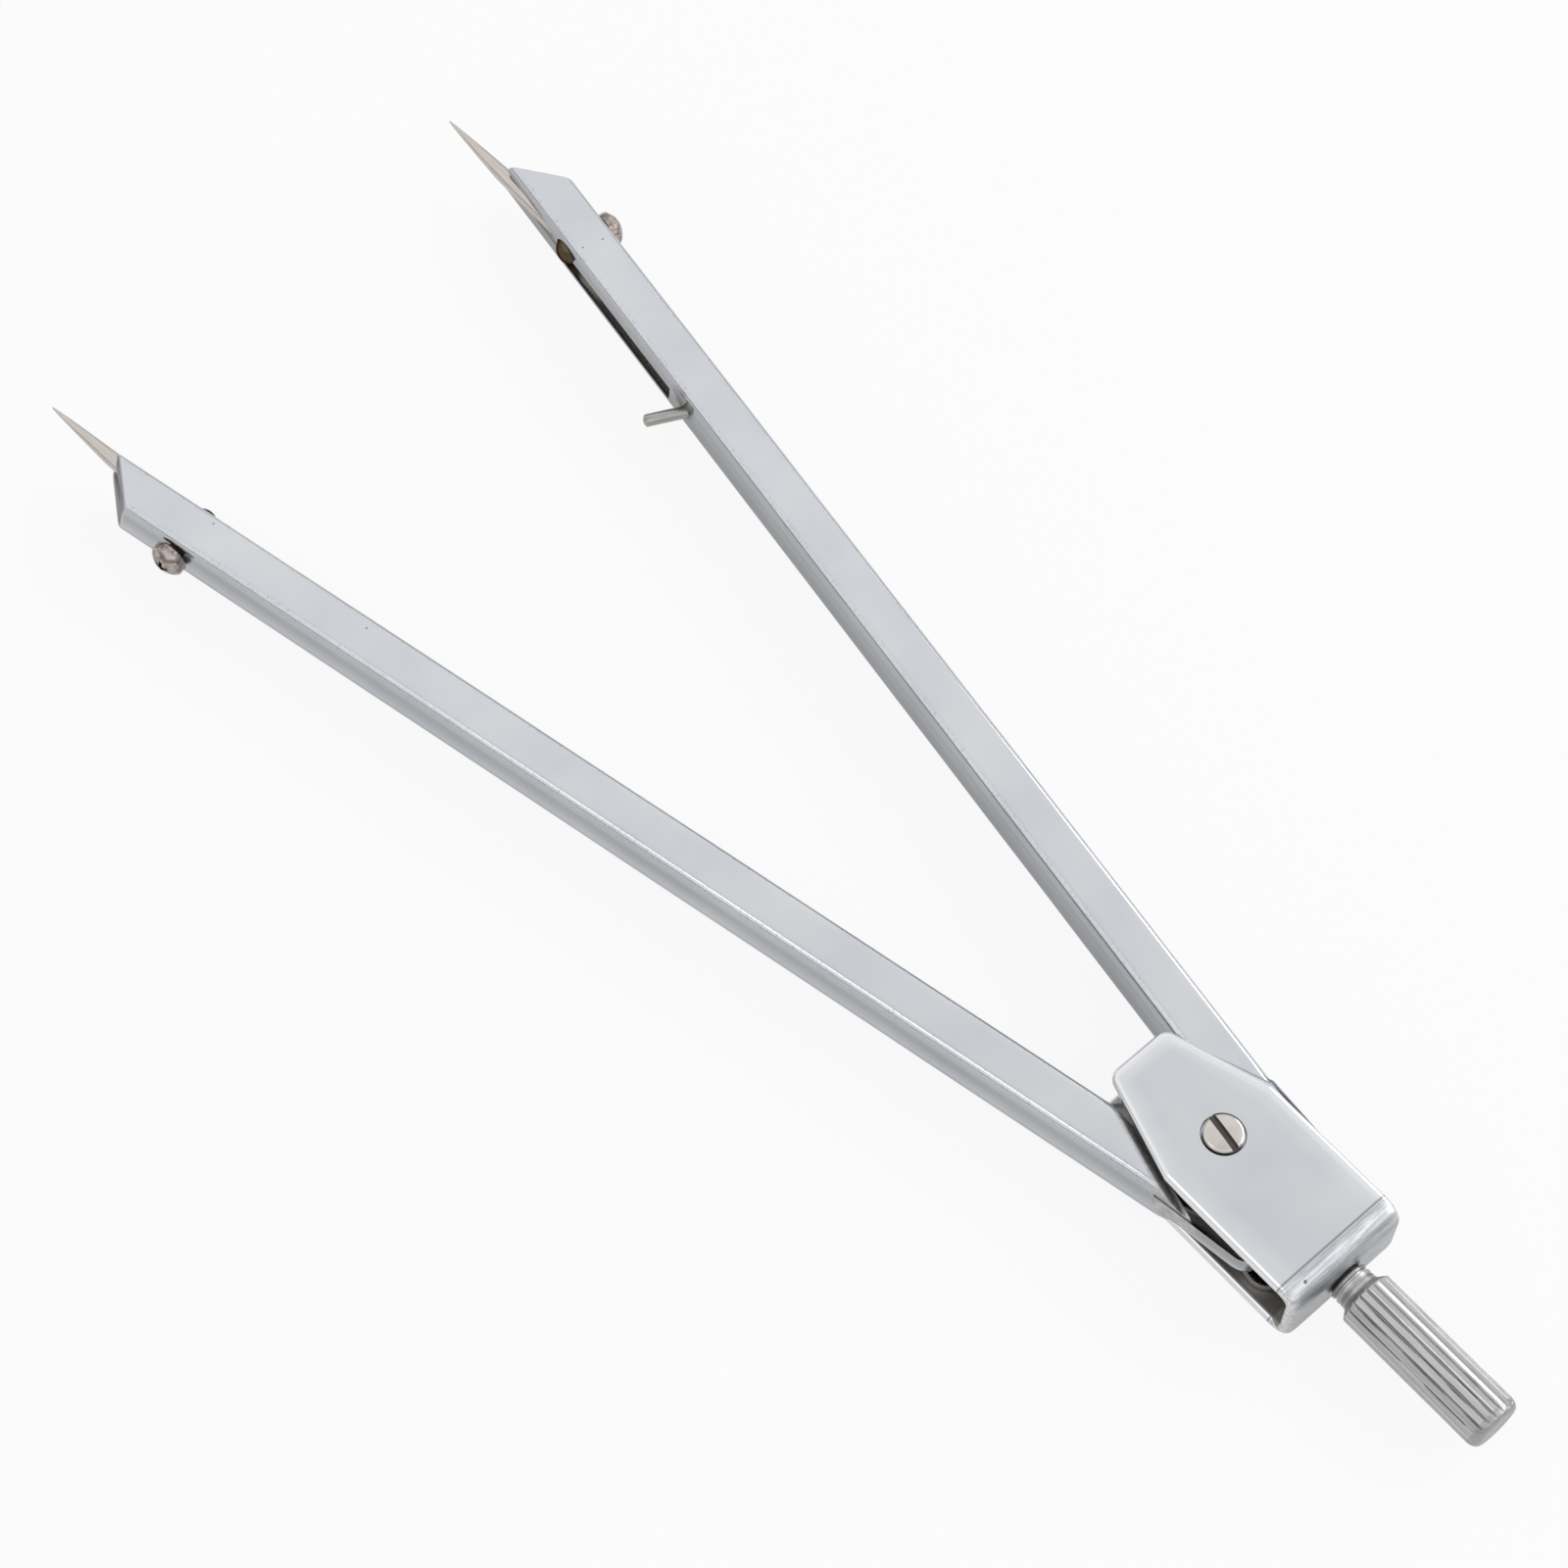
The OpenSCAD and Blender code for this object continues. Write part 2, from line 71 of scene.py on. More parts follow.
def drawn(verts, faces):
    mesh = bpy.data.meshes.new("drawn")
    mesh.from_pydata([tuple(v) for v in verts], [], faces)
    obj = bpy.data.objects.new("drawn", mesh)
    scene.collection.objects.link(obj)
    bm = bmesh.new()
    bm.from_mesh(mesh)
    bmesh.ops.recalc_face_normals(bm, faces=bm.faces)
    bm.to_mesh(mesh)
    bm.free()
    return obj


def loft(rings):
    count = len(rings[0])
    verts = [p for ring in rings for p in ring]
    faces = []
    for k in range(len(rings) - 1):
        for i in range(count):
            j = (i + 1) % count
            faces.append((k * count + i, k * count + j, (k + 1) * count + j, (k + 1) * count + i))
    last = (len(rings) - 1) * count
    faces.append(tuple(range(count - 1, -1, -1)))
    faces.append(tuple(range(last, last + count)))
    return drawn(verts, faces)


def lathe(profile, steps=64):  # (radius, place along Z), from one end to the other
    turns = [2 * math.pi * i / steps for i in range(steps)]
    return loft([[(r * math.cos(a), r * math.sin(a), z) for a in turns] for r, z in profile])


def arc(centre, r, start, end, steps):
    return [(centre[0] + r * math.cos(math.radians(start + (end - start) * i / steps)),
             centre[1] + r * math.sin(math.radians(start + (end - start) * i / steps)))
            for i in range(steps + 1)]


def roundedOutline(corners, steps=8):  # corners are (point, radius)
    points = []
    for i, (corner, r) in enumerate(corners):
        here = Vector(corner)
        before = (Vector(corners[i - 1][0]) - here).normalized()
        after = (Vector(corners[(i + 1) % len(corners)][0]) - here).normalized()
        if r == 0:
            points.append(tuple(here))
            continue
        half = before.angle(after) / 2
        centre = here + (before + after).normalized() * r / math.sin(half)
        start = here + before * r / math.tan(half) - centre
        turn = start.angle_signed(here + after * r / math.tan(half) - centre)
        for k in range(steps + 1):
            points.append(tuple(centre + Matrix.Rotation(-turn * k / steps, 2) @ start))
    return points


def inset(outline, amount):
    points = []
    for i, point in enumerate(outline):
        here = Vector(point)
        a = (here - Vector(outline[i - 1])).normalized()
        b = (Vector(outline[(i + 1) % len(outline)]) - here).normalized()
        normal = Vector((-a.y - b.y, a.x + b.x)).normalized()
        points.append(here + normal * amount / max(0.5, normal.dot(Vector((-a.y, a.x)))))
    return points


def plate(outline, low, high, edge, steps=4):  # counterclockwise outline, edges rounded by edge
    rings = []
    for k in range(steps + 1):
        turn = math.pi / 2 * k / steps
        rings.append([(p.x, p.y, low + edge * (1 - math.sin(turn)))
                      for p in inset(outline, edge * (1 - math.cos(math.pi / 2 - turn)))])
    top = [[(x, y, high + low - z) for x, y, z in ring] for ring in reversed(rings)]
    return loft(rings + top)


def prism(outline, low, high):
    return loft([[(x, y, z) for x, y in outline] for z in (low, high)])


def rod(r, low, high, steps=48):
    return lathe([(r, low), (r, high)], steps)


def domed(r, dome, top, steps=8):  # profile of a domed end, from its rim to its crown
    rim = math.asin(r / dome)
    turns = [rim * (1 - k / steps) for k in range(steps + 1)]
    return [(max(core, dome * math.sin(turn)), top - dome + dome * math.cos(turn)) for turn in turns]


def moved(obj, matrix):
    obj.data.transform(matrix)
    if matrix.determinant() < 0:
        obj.data.flip_normals()
    return obj


def combine(obj, others, operation):
    for other in others:
        mod = obj.modifiers.new("combine", "BOOLEAN")
        mod.operation = operation
        mod.solver = "EXACT"
        mod.object = other
    depsgraph = bpy.context.evaluated_depsgraph_get()
    mesh = bpy.data.meshes.new_from_object(obj.evaluated_get(depsgraph))
    obj.modifiers.clear()
    obj.data = mesh
    for other in others:
        bpy.data.objects.remove(other)
    return obj


def placed(obj, name, matrix, body, material, node, smooth=35, inside=()):
    mesh = obj.data
    mesh.name = name
    obj.name = name
    bm = bmesh.new()
    bm.from_mesh(mesh)
    bmesh.ops.remove_doubles(bm, verts=bm.verts, dist=weld)
    bmesh.ops.dissolve_degenerate(bm, edges=bm.edges, dist=weld)
    bm.to_mesh(mesh)
    bm.free()
    lay = mesh.attributes.new("lay", "FLOAT_VECTOR", "POINT")
    lay.data.foreach_set("vector", [c for v in mesh.vertices for c in v.co])
    if inside:  # boxes round the inner faces, which get painted shade
        hits = [any(all(a < c < b for a, c, b in zip(low, v.co, high)) for low, high in inside)
                for v in mesh.vertices]
        dull = mesh.attributes.new("inside", "FLOAT", "POINT")
        dull.data.foreach_set("value", [float(hit) for hit in hits])
    moved(obj, Matrix.Scale(mm, 4) @ matrix)
    mesh.shade_smooth()
    mesh.set_sharp_from_angle(angle=math.radians(smooth))
    weighted = obj.modifiers.new("weighted", "WEIGHTED_NORMAL")
    weighted.keep_sharp = True
    mesh.materials.clear()
    mesh.materials.append(material)
    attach(obj, body)
    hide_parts(node)
    return obj


# places, as in the CAD

pose = {"pivotY": 6.15, "leftAngle": 12.2, "rightAngle": -8.5, "middleZ": 3.9}
clampSpot = {"outer": 6.6, "along": 105.2, "z": 3.85, "needleX": 3.64, "needleLean": 7}
pinSpot = {"inner": 2.4, "along": 84.6, "z": 3.3, "lean": -18}


def spin(degrees, axis):
    return Matrix.Rotation(math.radians(degrees), 4, axis)


def shift(x, y, z):
    return Matrix.Translation((x, y, z))


atPivot = shift(0, pose["pivotY"], 0)
atRightLeg = atPivot @ spin(pose["rightAngle"], "Z")
atLeftLeg = atPivot @ spin(pose["leftAngle"], "Z") @ Matrix.Scale(-1, 4, (1, 0, 0))
onClamp = shift(clampSpot["outer"], clampSpot["along"], clampSpot["z"]) @ spin(-90, "Y")
onNeedle = (shift(clampSpot["needleX"], clampSpot["along"], clampSpot["z"])
            @ spin(clampSpot["needleLean"], "Z") @ spin(-90, "X"))
onPin = (shift(pinSpot["inner"], pinSpot["along"], pinSpot["z"])
         @ spin(pinSpot["lean"], "Z") @ spin(-90, "Y"))


# metals: every pattern is in mm on the piece's own drawing axes

def startMetal(name):
    mat = bpy.data.materials.new(name)
    mat.use_nodes = True
    tree = mat.node_tree
    shader = tree.nodes["Principled BSDF"]
    shader.inputs["Metallic"].default_value = 1.0
    lay = addNode(tree, "Attribute", {"attribute_name": "lay"}).outputs["Vector"]
    return mat, tree, shader, lay


def finishMetal(tree, shader, tone, gloss, bumps):  # bumps are (height, strength, depth in mm), finest first
    links = {}
    for height, strength, deep in bumps:
        relief = addNode(tree, "Bump", {"Strength": strength, "Distance": deep * mm},
                         {"Height": height, **links})
        links = {"Normal": relief.outputs[0]}
    for name, socket in {"Base Color": tone, "Roughness": gloss, **links}.items():
        tree.links.new(socket, shader.inputs[name])


def platedSheet(name, wear):
    # Rolled steel strip with bright nickel plating: pale grey and nearly a mirror, so that its folds show
    # as white lines. Faint roll lines, a slow waviness and a few pits. The inner faces are dull, with painted
    # shade
    mat, tree, shader, lay = startMetal(name)
    axes = addNode(tree, "SeparateXYZ", None, {"Vector": lay})
    roll = addNode(tree, "Mapping", {"Scale": (5, 0.25, 5)}, {"Vector": lay})  # 0.2 mm x 4 mm lines
    lines = addNode(tree, "TexNoise", {"Scale": 1.0, "Detail": 3.0}, {"Vector": roll})
    cloud = addNode(tree, "TexNoise", {"Scale": 0.12, "Detail": 2.0}, {"Vector": lay})  # 8 mm clouds
    haze = addNode(tree, "MapRange", {"From Min": 0.3, "From Max": 0.7}, {"Value": cloud})
    tone = addNode(tree, "Mix", {"data_type": "RGBA", 6: linear("#CCCFD5"), 7: linear("#D7D9DC")},
                   {0: haze}).outputs[2]
    gloss = addNode(tree, "MapRange", {"From Min": 0.3, "From Max": 0.7, "To Min": 0.13, "To Max": 0.17},
                    {"Value": lines}).outputs[0]
    height = lines.outputs[0]
    rim = addNode(tree, "Attribute", {"attribute_name": "rim"}).outputs["Fac"]
    marks = [({7: linear("#EFF0F2")}, {0: rim})]  # mixed over the tone in turn, first the painted highlight along the edges
    dulls = []  # added to the roughness

    if "walls" in wear:  # the side walls are painted darker in bands up each wall: a painted reflection of the shaded floor
        across = addNode(tree, "Math", {"operation": "SUBTRACT", 1: wear["middle"]}, {0: axes.outputs["X"]})
        up = addNode(tree, "MapRange", {"From Min": wear["low"], "From Max": wear["high"]},
                     {"Value": axes.outputs["Z"]})
        for side, shares in wear["walls"].items():
            wall = addNode(tree, "MapRange",
                           {"From Min": side * wear["wallFrom"], "From Max": side * wear["wallTo"]},
                           {"Value": across})
            paintedWallShade = addNode(tree, "ValToRGB", None, {"Fac": up})
            stops = paintedWallShade.color_ramp.elements
            for place, share in shares:
                stop = stops[0] if place == 0 else stops[-1] if place == 1 else stops.new(place)
                stop.color = (share, share, share, 1)
            marks.append(({"blend_type": "MULTIPLY"}, {0: wall, 7: paintedWallShade}))
        ahead = addNode(tree, "VectorMath", {"operation": "DOT_PRODUCT", 1: wear["end"]["normal"]},
                        {0: lay})
        end = addNode(tree, "MapRange",  # the end wall is darker and duller
                      {"From Min": wear["end"]["from"], "From Max": wear["end"]["to"], "To Max": 0.9},
                      {"Value": ahead.outputs["Value"]})
        marks.append(({7: linear("#56585A")}, {0: end}))
        dulls.append((0.25, end.outputs[0]))
        nick = addNode(tree, "TexNoise", {"Scale": 4.0, "Detail": 3.0}, {"Vector": lay})  # 0.25 mm nicks
        few = addNode(tree, "MapRange", {"From Min": 0.52, "From Max": 0.7, "To Max": 0.5}, {"Value": nick})
        apart = addNode(tree, "Math", {"operation": "ABSOLUTE"}, {0: across})
        corner = addNode(tree, "Math", {"operation": "ADD"}, {0: apart, 1: axes.outputs["Z"]})
        fold = addNode(tree, "MapRange", {"From Min": wear["foldFrom"], "From Max": wear["foldTo"]},
                       {"Value": corner})
        worn = addNode(tree, "Math", {"operation": "MULTIPLY"}, {0: few, 1: fold})
        marks.append(({7: linear("#A6A8AB")}, {0: worn}))

    if "step" in wear:  # the step into the tongue was pressed with a rough die
        step = wear["step"]
        ahead = addNode(tree, "VectorMath", {"operation": "DOT_PRODUCT", 1: step["normal"]}, {0: lay})
        off = addNode(tree, "Math", {"operation": "SUBTRACT", 1: step["at"]}, {0: ahead.outputs["Value"]})
        apart = addNode(tree, "Math", {"operation": "ABSOLUTE"}, {0: off})
        slope = addNode(tree, "MapRange",
                        {"From Min": step["full"], "From Max": step["none"], "To Min": 1.0, "To Max": 0.0},
                        {"Value": apart}).outputs[0]
        scrape = addNode(tree, "TexNoise", {"Scale": 1.6, "Detail": 5.0}, {"Vector": lay})  # 0.6 mm
        grey = addNode(tree, "Mix",
                       {"data_type": "RGBA", 6: linear("#8E8F90"), 7: linear("#F2F2F2")}, {0: scrape})
        marks.append(({}, {0: slope, 7: grey.outputs[2]}))
        dulls.append((0.45, slope))

    if "pinPatch" in wear:  # brown patch round the pin's root, darkest in its middle
        far = addNode(tree, "VectorMath", {"operation": "DISTANCE", 1: wear["pinPatch"]["at"]}, {0: lay})
        blot = addNode(tree, "TexNoise", {"Scale": 1.2, "Detail": 4.0}, {"Vector": lay})  # 0.8 mm blots
        edge = addNode(tree, "Math", {"operation": "MULTIPLY_ADD", 1: 1.6},
                       {0: blot, 2: far.outputs["Value"]})
        patch = addNode(tree, "MapRange",
                        {"From Min": wear["pinPatch"]["full"], "From Max": wear["pinPatch"]["none"],
                         "To Min": 0.95, "To Max": 0.0}, {"Value": edge})
        marks.append(({7: linear("#514A44")}, {0: patch}))

    if "bend" in wear:  # the bend was brushed after bending, along the fold; its end face and a line at its start are painted shade
        bend = addNode(tree, "MapRange", {"From Min": wear["bend"], "From Max": wear["bend"] - 0.2},
                       {"Value": axes.outputs["Y"]})
        brush = addNode(tree, "Mapping", {"Scale": (0.35, 4, 4), "Rotation": (0, 0, 0.2)},
                        {"Vector": lay})  # 0.25 mm hairs
        hairs = addNode(tree, "TexNoise", {"Scale": 1.0, "Detail": 5.0, "Roughness": 0.7},
                        {"Vector": brush})
        rough = addNode(tree, "Math", {"operation": "MULTIPLY"}, {0: bend, 1: hairs}).outputs[0]
        streak = addNode(tree, "MapRange", {"From Min": 0.44, "From Max": 0.56, "To Max": 0.42},
                         {"Value": rough})
        marks.append(({7: linear("#7E8082")}, {0: streak}))
        # painted shade: the end face below the bend is painted darker
        endFaceShade = addNode(tree, "MapRange",
                       {"From Min": wear["bend"] - 1.5, "From Max": wear["bend"] - 2.1, "To Max": 0.55},
                       {"Value": axes.outputs["Y"]})
        marks.append(({7: linear("#9A9C9E")}, {0: endFaceShade}))
        # painted shade: a dark line is painted along the start of the bend
        off = addNode(tree, "Math", {"operation": "SUBTRACT", 1: wear["bend"]}, {0: axes.outputs["Y"]})
        apart = addNode(tree, "Math", {"operation": "ABSOLUTE"}, {0: off})
        creaseShade = addNode(tree, "MapRange",
                         {"From Min": 0.03, "From Max": 0.15, "To Min": 0.7, "To Max": 0.0},
                         {"Value": apart})
        marks.append(({7: linear("#6C6E70")}, {0: creaseShade}))
        dulls.append((0.3, rough))
        height = addNode(tree, "Math", {"operation": "MULTIPLY_ADD", 1: 8.0},
                         {0: rough, 2: height}).outputs[0]

    for spot, r in wear["specks"]:  # single dark specks
        far = addNode(tree, "VectorMath", {"operation": "DISTANCE", 1: spot}, {0: lay})
        dark = addNode(tree, "MapRange",
                       {"From Min": r * 0.6, "From Max": r, "To Min": 0.75, "To Max": 0.0},
                       {"Value": far.outputs["Value"]})
        marks.append(({7: linear("#262524")}, {0: dark}))
    pits = addNode(tree, "TexVoronoi", {"Scale": 0.3}, {"Vector": lay})  # cells of 3 mm, few with a pit
    pitSize = addNode(tree, "MapRange",
                      {"From Min": 0.015, "From Max": 0.035, "To Min": 1.0, "To Max": 0.0},
                      {"Value": pits.outputs["Distance"]})
    pitPick = addNode(tree, "SeparateColor", None, {"Color": pits.outputs["Color"]})
    pitFew = addNode(tree, "MapRange", {"From Min": 0.84, "From Max": 0.86}, {"Value": pitPick})
    pitMask = addNode(tree, "Math", {"operation": "MULTIPLY"}, {0: pitSize, 1: pitFew})
    marks.append(({7: linear("#3F3E3E")}, {0: pitMask}))
    # painted shade: the inner faces are painted darker, and they are duller
    inside = addNode(tree, "Attribute", {"attribute_name": "inside"}).outputs["Fac"]
    marks.append(({7: linear(wear["paintedShade"])}, {0: inside}))
    dulls.append((0.3, inside))

    for settings, links in marks:
        tone = addNode(tree, "Mix", {"data_type": "RGBA", **settings}, {6: tone, **links}).outputs[2]
    for amount, share in dulls:
        gloss = addNode(tree, "Math", {"operation": "MULTIPLY_ADD", 1: amount},
                        {0: share, 2: gloss}).outputs[0]
    finishMetal(tree, shader, tone, gloss, [(height, 0.04, 0.02), (cloud.outputs[0], 0.25, 0.25)])
    return mat


def grainedMetal(look):  # one noise, stretched by perMm, gives tone, gloss and relief
    mat, tree, shader, lay = startMetal(look["name"])
    grain = addNode(tree, "Mapping", {"Scale": look["perMm"]}, {"Vector": lay})
    lines = addNode(tree, "TexNoise", {"Scale": 1.0, "Detail": look["detail"]},
                    {"Vector": grain}).outputs[0]
    tone = addNode(tree, "Mix", {"data_type": "RGBA", 6: linear(look["dark"]), 7: linear(look["pale"])},
                   {0: lines}).outputs[2]
    low, high = look["gloss"]
    gloss = addNode(tree, "MapRange", {"From Min": 0.3, "From Max": 0.7, "To Min": low, "To Max": high},
                    {"Value": lines}).outputs[0]
    height = lines
    if "dirtAndShadeTone" in look:  # dirt in the flutes, and painted shade under the neck and on the end, where the attribute says
        groove = addNode(tree, "Attribute", {"attribute_name": "groove"}).outputs["Fac"]
        tone = addNode(tree, "Mix", {"data_type": "RGBA", 7: linear(look["dirtAndShadeTone"])},
                       {0: groove, 6: tone}).outputs[2]
    if "grit" in look:
        height = addNode(tree, "TexNoise", {"Scale": look["grit"], "Detail": 2.0},
                         {"Vector": lay}).outputs[0]
    if "edge" in look:
        shader.inputs["Specular Tint"].default_value = linear(look["edge"])
    finishMetal(tree, shader, tone, gloss, [(height, *look["bump"])])
    return mat


def nickelScrew(look):  # mottled plating, with painted shade over a stretch of the screw's axis
    mat, tree, shader, lay = startMetal(look["name"])
    axes = addNode(tree, "SeparateXYZ", None, {"Vector": lay})
    mottle = addNode(tree, "TexNoise", look["mottle"], {"Vector": lay}).outputs[0]
    spots = addNode(tree, "MapRange", {"From Min": look["spots"][0], "From Max": look["spots"][1]},
                    {"Value": mottle}).outputs[0]
    tone = addNode(tree, "Mix",
                   {"data_type": "RGBA", 6: linear(look["plate"]), 7: linear(look["spot"])}, {0: spots})
    # painted shade over a stretch of the axis: the rim, the slot and the gap under the head
    paintedShade = addNode(tree, "MapRange",
                  {"From Min": look["paintedShadeFrom"], "From Max": look["paintedShadeTo"], "To Max": look["paintedShadeShare"]},
                  {"Value": axes.outputs["Z"]}).outputs[0]
    shadedTone = addNode(tree, "Mix", {"data_type": "RGBA", 7: linear(look["paintedShade"])},
                    {0: paintedShade, 6: tone.outputs[2]})
    gloss = addNode(tree, "MapRange", {"To Min": look["gloss"][0], "To Max": look["gloss"][1]},
                    {"Value": paintedShade if look["paintedShadeDulls"] else spots})
    finishMetal(tree, shader, shadedTone.outputs[2], gloss.outputs[0], [(mottle, *look["bump"])])
    return mat


# yoke: stamped blank with rolled-over edges, bent to a U

yoke = {"half": 6.05, "tipHalf": 3.1, "front": 9.9, "shoulder": 0.5, "back": 14.3, "sheet": 1.2,
        "height": 7.8, "bend": 2.0, "corner": 1.2, "edge": 0.42, "rollOver": 0.14, "rollWide": 1.1,
        "rimWide": 1.4,  # the edges get a painted highlight over this width
        "screwHole": 1.27, "holeTurn": 3.3, "shankHole": 1.17, "shankDeep": 3,
        "headHole": 1.8, "headFloor": 7.3, "headRim": 0.12, "rimFrom": -0.08, "rimTo": 0.04,
        "nearEdge": (0.5, 0.6, 0.75, 0.95, 1.1), "edgeShare": 0.8,
        "rows": {"tip": 9, "taper": 8, "shoulder": 4, "flat": 8, "bend": 10, "wall": 3, "edge": 6, "half": 4}}
yokeWear = {"paintedShade": "#A39F9A", "bend": -12.15, "specks": [((-3.96, -13.11, 7.62), 0.2)]}
yokeFinish = platedSheet("brightNickelPlatedStrip", yokeWear)


def buildYoke():
    half, front, corner, sheet = yoke["half"], yoke["front"], yoke["corner"], yoke["sheet"]
    many = yoke["rows"]
    taper = Vector((half - yoke["tipHalf"], yoke["shoulder"] - front)).normalized()
    slant = math.degrees(math.asin(taper.x))
    outward = Vector((-taper.y, taper.x))
    tipTrim = corner / math.tan(math.radians(90 + slant) / 2)
    tipCentre = Vector((yoke["tipHalf"] - tipTrim, front - corner))
    shoulderCentre = Vector((half - corner, yoke["shoulder"] - corner * math.tan(math.radians(slant / 2))))
    mid = yoke["bend"] - sheet / 2
    flat = front + yoke["back"] - yoke["bend"]  # tip to the start of the bend
    quarter = math.pi / 2 * mid
    wall = yoke["height"] - 2 * yoke["bend"]

    # half width of the blank against the distance from the tip
    side = [(front - y, x) for x, y in arc(tipCentre, corner, 90, slant, many["tip"])]
    start, end = side[-1], (front - shoulderCentre.y - corner * math.sin(math.radians(slant)),
                            shoulderCentre.x + corner * math.cos(math.radians(slant)))
    side += [tuple(a + (b - a) * k / many["taper"] for a, b in zip(start, end))
             for k in range(1, many["taper"])]
    side += [(front - y, x) for x, y in arc(shoulderCentre, corner, slant, 0, many["shoulder"])]
    straight = side[-1][0]
    side += [(straight + (flat - straight) * k / many["flat"], half) for k in range(1, many["flat"] + 1)]
    side += [(flat + quarter * k / many["bend"], half) for k in range(1, many["bend"] + 1)]
    side += [(flat + quarter + wall / 2 * k / many["wall"], half) for k in range(1, many["wall"] + 1)]
    whole = 2 * (flat + quarter) + wall
    rows = side + [(whole - s, w) for s, w in reversed(side[:-1])]

    def edgeGap(s, x):  # distance to the outline of the blank
        s, x = min(s, whole - s), abs(x)
        p = Vector((x, front - s))
        gap = min(s, half - x, (Vector((yoke["tipHalf"], front)) - p).dot(outward))
        for centre, low, high in ((tipCentre, slant, 90), (shoulderCentre, 0, slant)):
            offset = p - centre
            turn = math.degrees(math.atan2(offset.y, offset.x))
            if low <= turn <= high:
                gap = min(gap, corner - offset.length)
        return max(gap, 0)

    def lift(gap, outer):  # half thickness at a distance from the edge
        edge = yoke["edge"]
        h = sheet / 2
        if gap < edge:
            h -= edge - math.sqrt(edge * edge - (edge - gap) ** 2)
        if outer and gap < yoke["rollWide"]:
            h -= yoke["rollOver"] * (1 - gap / yoke["rollWide"]) ** 2
        return h

    def bent(s, x, h):
        mirror = s > whole / 2
        s = min(s, whole - s)
        if s <= flat:
            y, z = front - s, yoke["height"] - sheet / 2 + h
        elif s <= flat + quarter:
            turn = (s - flat) / mid
            y = front - flat - (mid + h) * math.sin(turn)
            z = yoke["height"] - yoke["bend"] + (mid + h) * math.cos(turn)
        else:
            y = -yoke["back"] + sheet / 2 - h
            z = yoke["height"] - yoke["bend"] - (s - flat - quarter)
        return (x, y, yoke["height"] - z if mirror else z)

    edgeSteps = [yoke["edge"] * (1 - math.cos(math.pi / 2 * k / many["edge"]))
                 for k in range(many["edge"] + 1)]
    edgeSteps += yoke["nearEdge"]
    verts, outerFace, innerFace = [], [], []
    for outer, grid in ((True, outerFace), (False, innerFace)):
        for s, w in rows:
            steps = [min(e, w * yoke["edgeShare"]) for e in edgeSteps]
            across = [-w + e for e in steps]
            across += [(w - steps[-1]) * (k / many["half"] - 1) for k in range(1, 2 * many["half"])]
            across += [w - e for e in reversed(steps)]
            grid.append([])
            for x in across:
                h = lift(edgeGap(s, x), outer)
                grid[-1].append(len(verts))
                verts.append(bent(s, x, h if outer else -h))
    faces = []
    for grid in (outerFace, innerFace):
        for a, b in zip(grid, grid[1:]):
            faces += [(a[i], a[i + 1], b[i + 1], b[i]) for i in range(len(a) - 1)]
    rims = []
    for grid in (outerFace, innerFace):
        left, right = [row[0] for row in grid], [row[-1] for row in grid]
        rims.append(left + grid[-1][1:-1] + right[::-1] + grid[0][-2:0:-1])
    outerRim, innerRim = rims
    for i in range(len(outerRim)):
        j = (i + 1) % len(outerRim)
        faces.append((outerRim[i], outerRim[j], innerRim[j], innerRim[i]))
    body = drawn(verts, faces)

    top, hole, wide = yoke["height"], yoke["headHole"], yoke["headHole"] + yoke["headRim"]
    shank = moved(rod(yoke["shankHole"], -past, yoke["shankDeep"]),
                  shift(0, -yoke["back"], pose["middleZ"]) @ spin(-90, "X"))
    head = lathe([(hole, yoke["headFloor"]), (hole, top + yoke["rimFrom"]), (wide, top + yoke["rimTo"]),
                  (wide, top + past)])
    screw = moved(rod(yoke["screwHole"], -past, top + past), spin(yoke["holeTurn"], "Z"))
    combine(body, [screw, head, shank], "DIFFERENCE")
    gaps = [edgeGap(front - v.co.y, v.co.x) for v in body.data.vertices]
    # painted highlight: the attribute rim lightens the blank towards its edges
    rim = body.data.attributes.new("rim", "FLOAT", "POINT")
    rim.data.foreach_set("value", [max(0, 1 - gap / yoke["rimWide"]) for gap in gaps])
    between = ((-half - past, -yoke["back"] + sheet - margin, sheet - margin),
               (half + past, front, top - sheet + margin))
    placed(body, "yokeStrip", atPivot, "yoke", yokeFinish, "yoke", inside=[between])


buildYoke()
print("yoke bent")


# handle: turned bar with a straight knurl

handle = {"r": 2.5, "long": 16.5, "neck": 1.8, "neckLong": 1.7, "neckEase": 0.15, "flare": 0.05,
          "coneLong": 0.5, "gap": 0.02, "undercut": 0.22, "undercutDeep": 0.3, "neckEdge": 0.06,
          "grooveAt": 0.5, "grooveWide": 0.3, "grooveDeep": 0.2, "grooveSlope": 0.08,
          "ring": (1.05, 1.1, 1.2, 1.26), "ringDeep": 0.06, "gripEdge": 0.06, "gripEase": 0.12,
          "endLong": 0.9, "endR": 1.8, "endFull": (0.8, 1.15), "endSag": 0.01,
          "shank": 1.15, "peenR": 1.5, "peenLong": 0.7, "peenEdge": 0.3,
          "flutes": 20, "fluteDeep": 0.16, "fluteWide": 0.3, "fluteTurn": 7.8, "uneven": 0.3,
          "lip": 0.035, "lipAway": 0.12, "lipWide": 0.1, "floorFull": 1.7, "fluteStain": 0.5,
          "endShade": 0.22, "samples": 14, "rows": 40, "endRows": 8, "coneRows": 5}
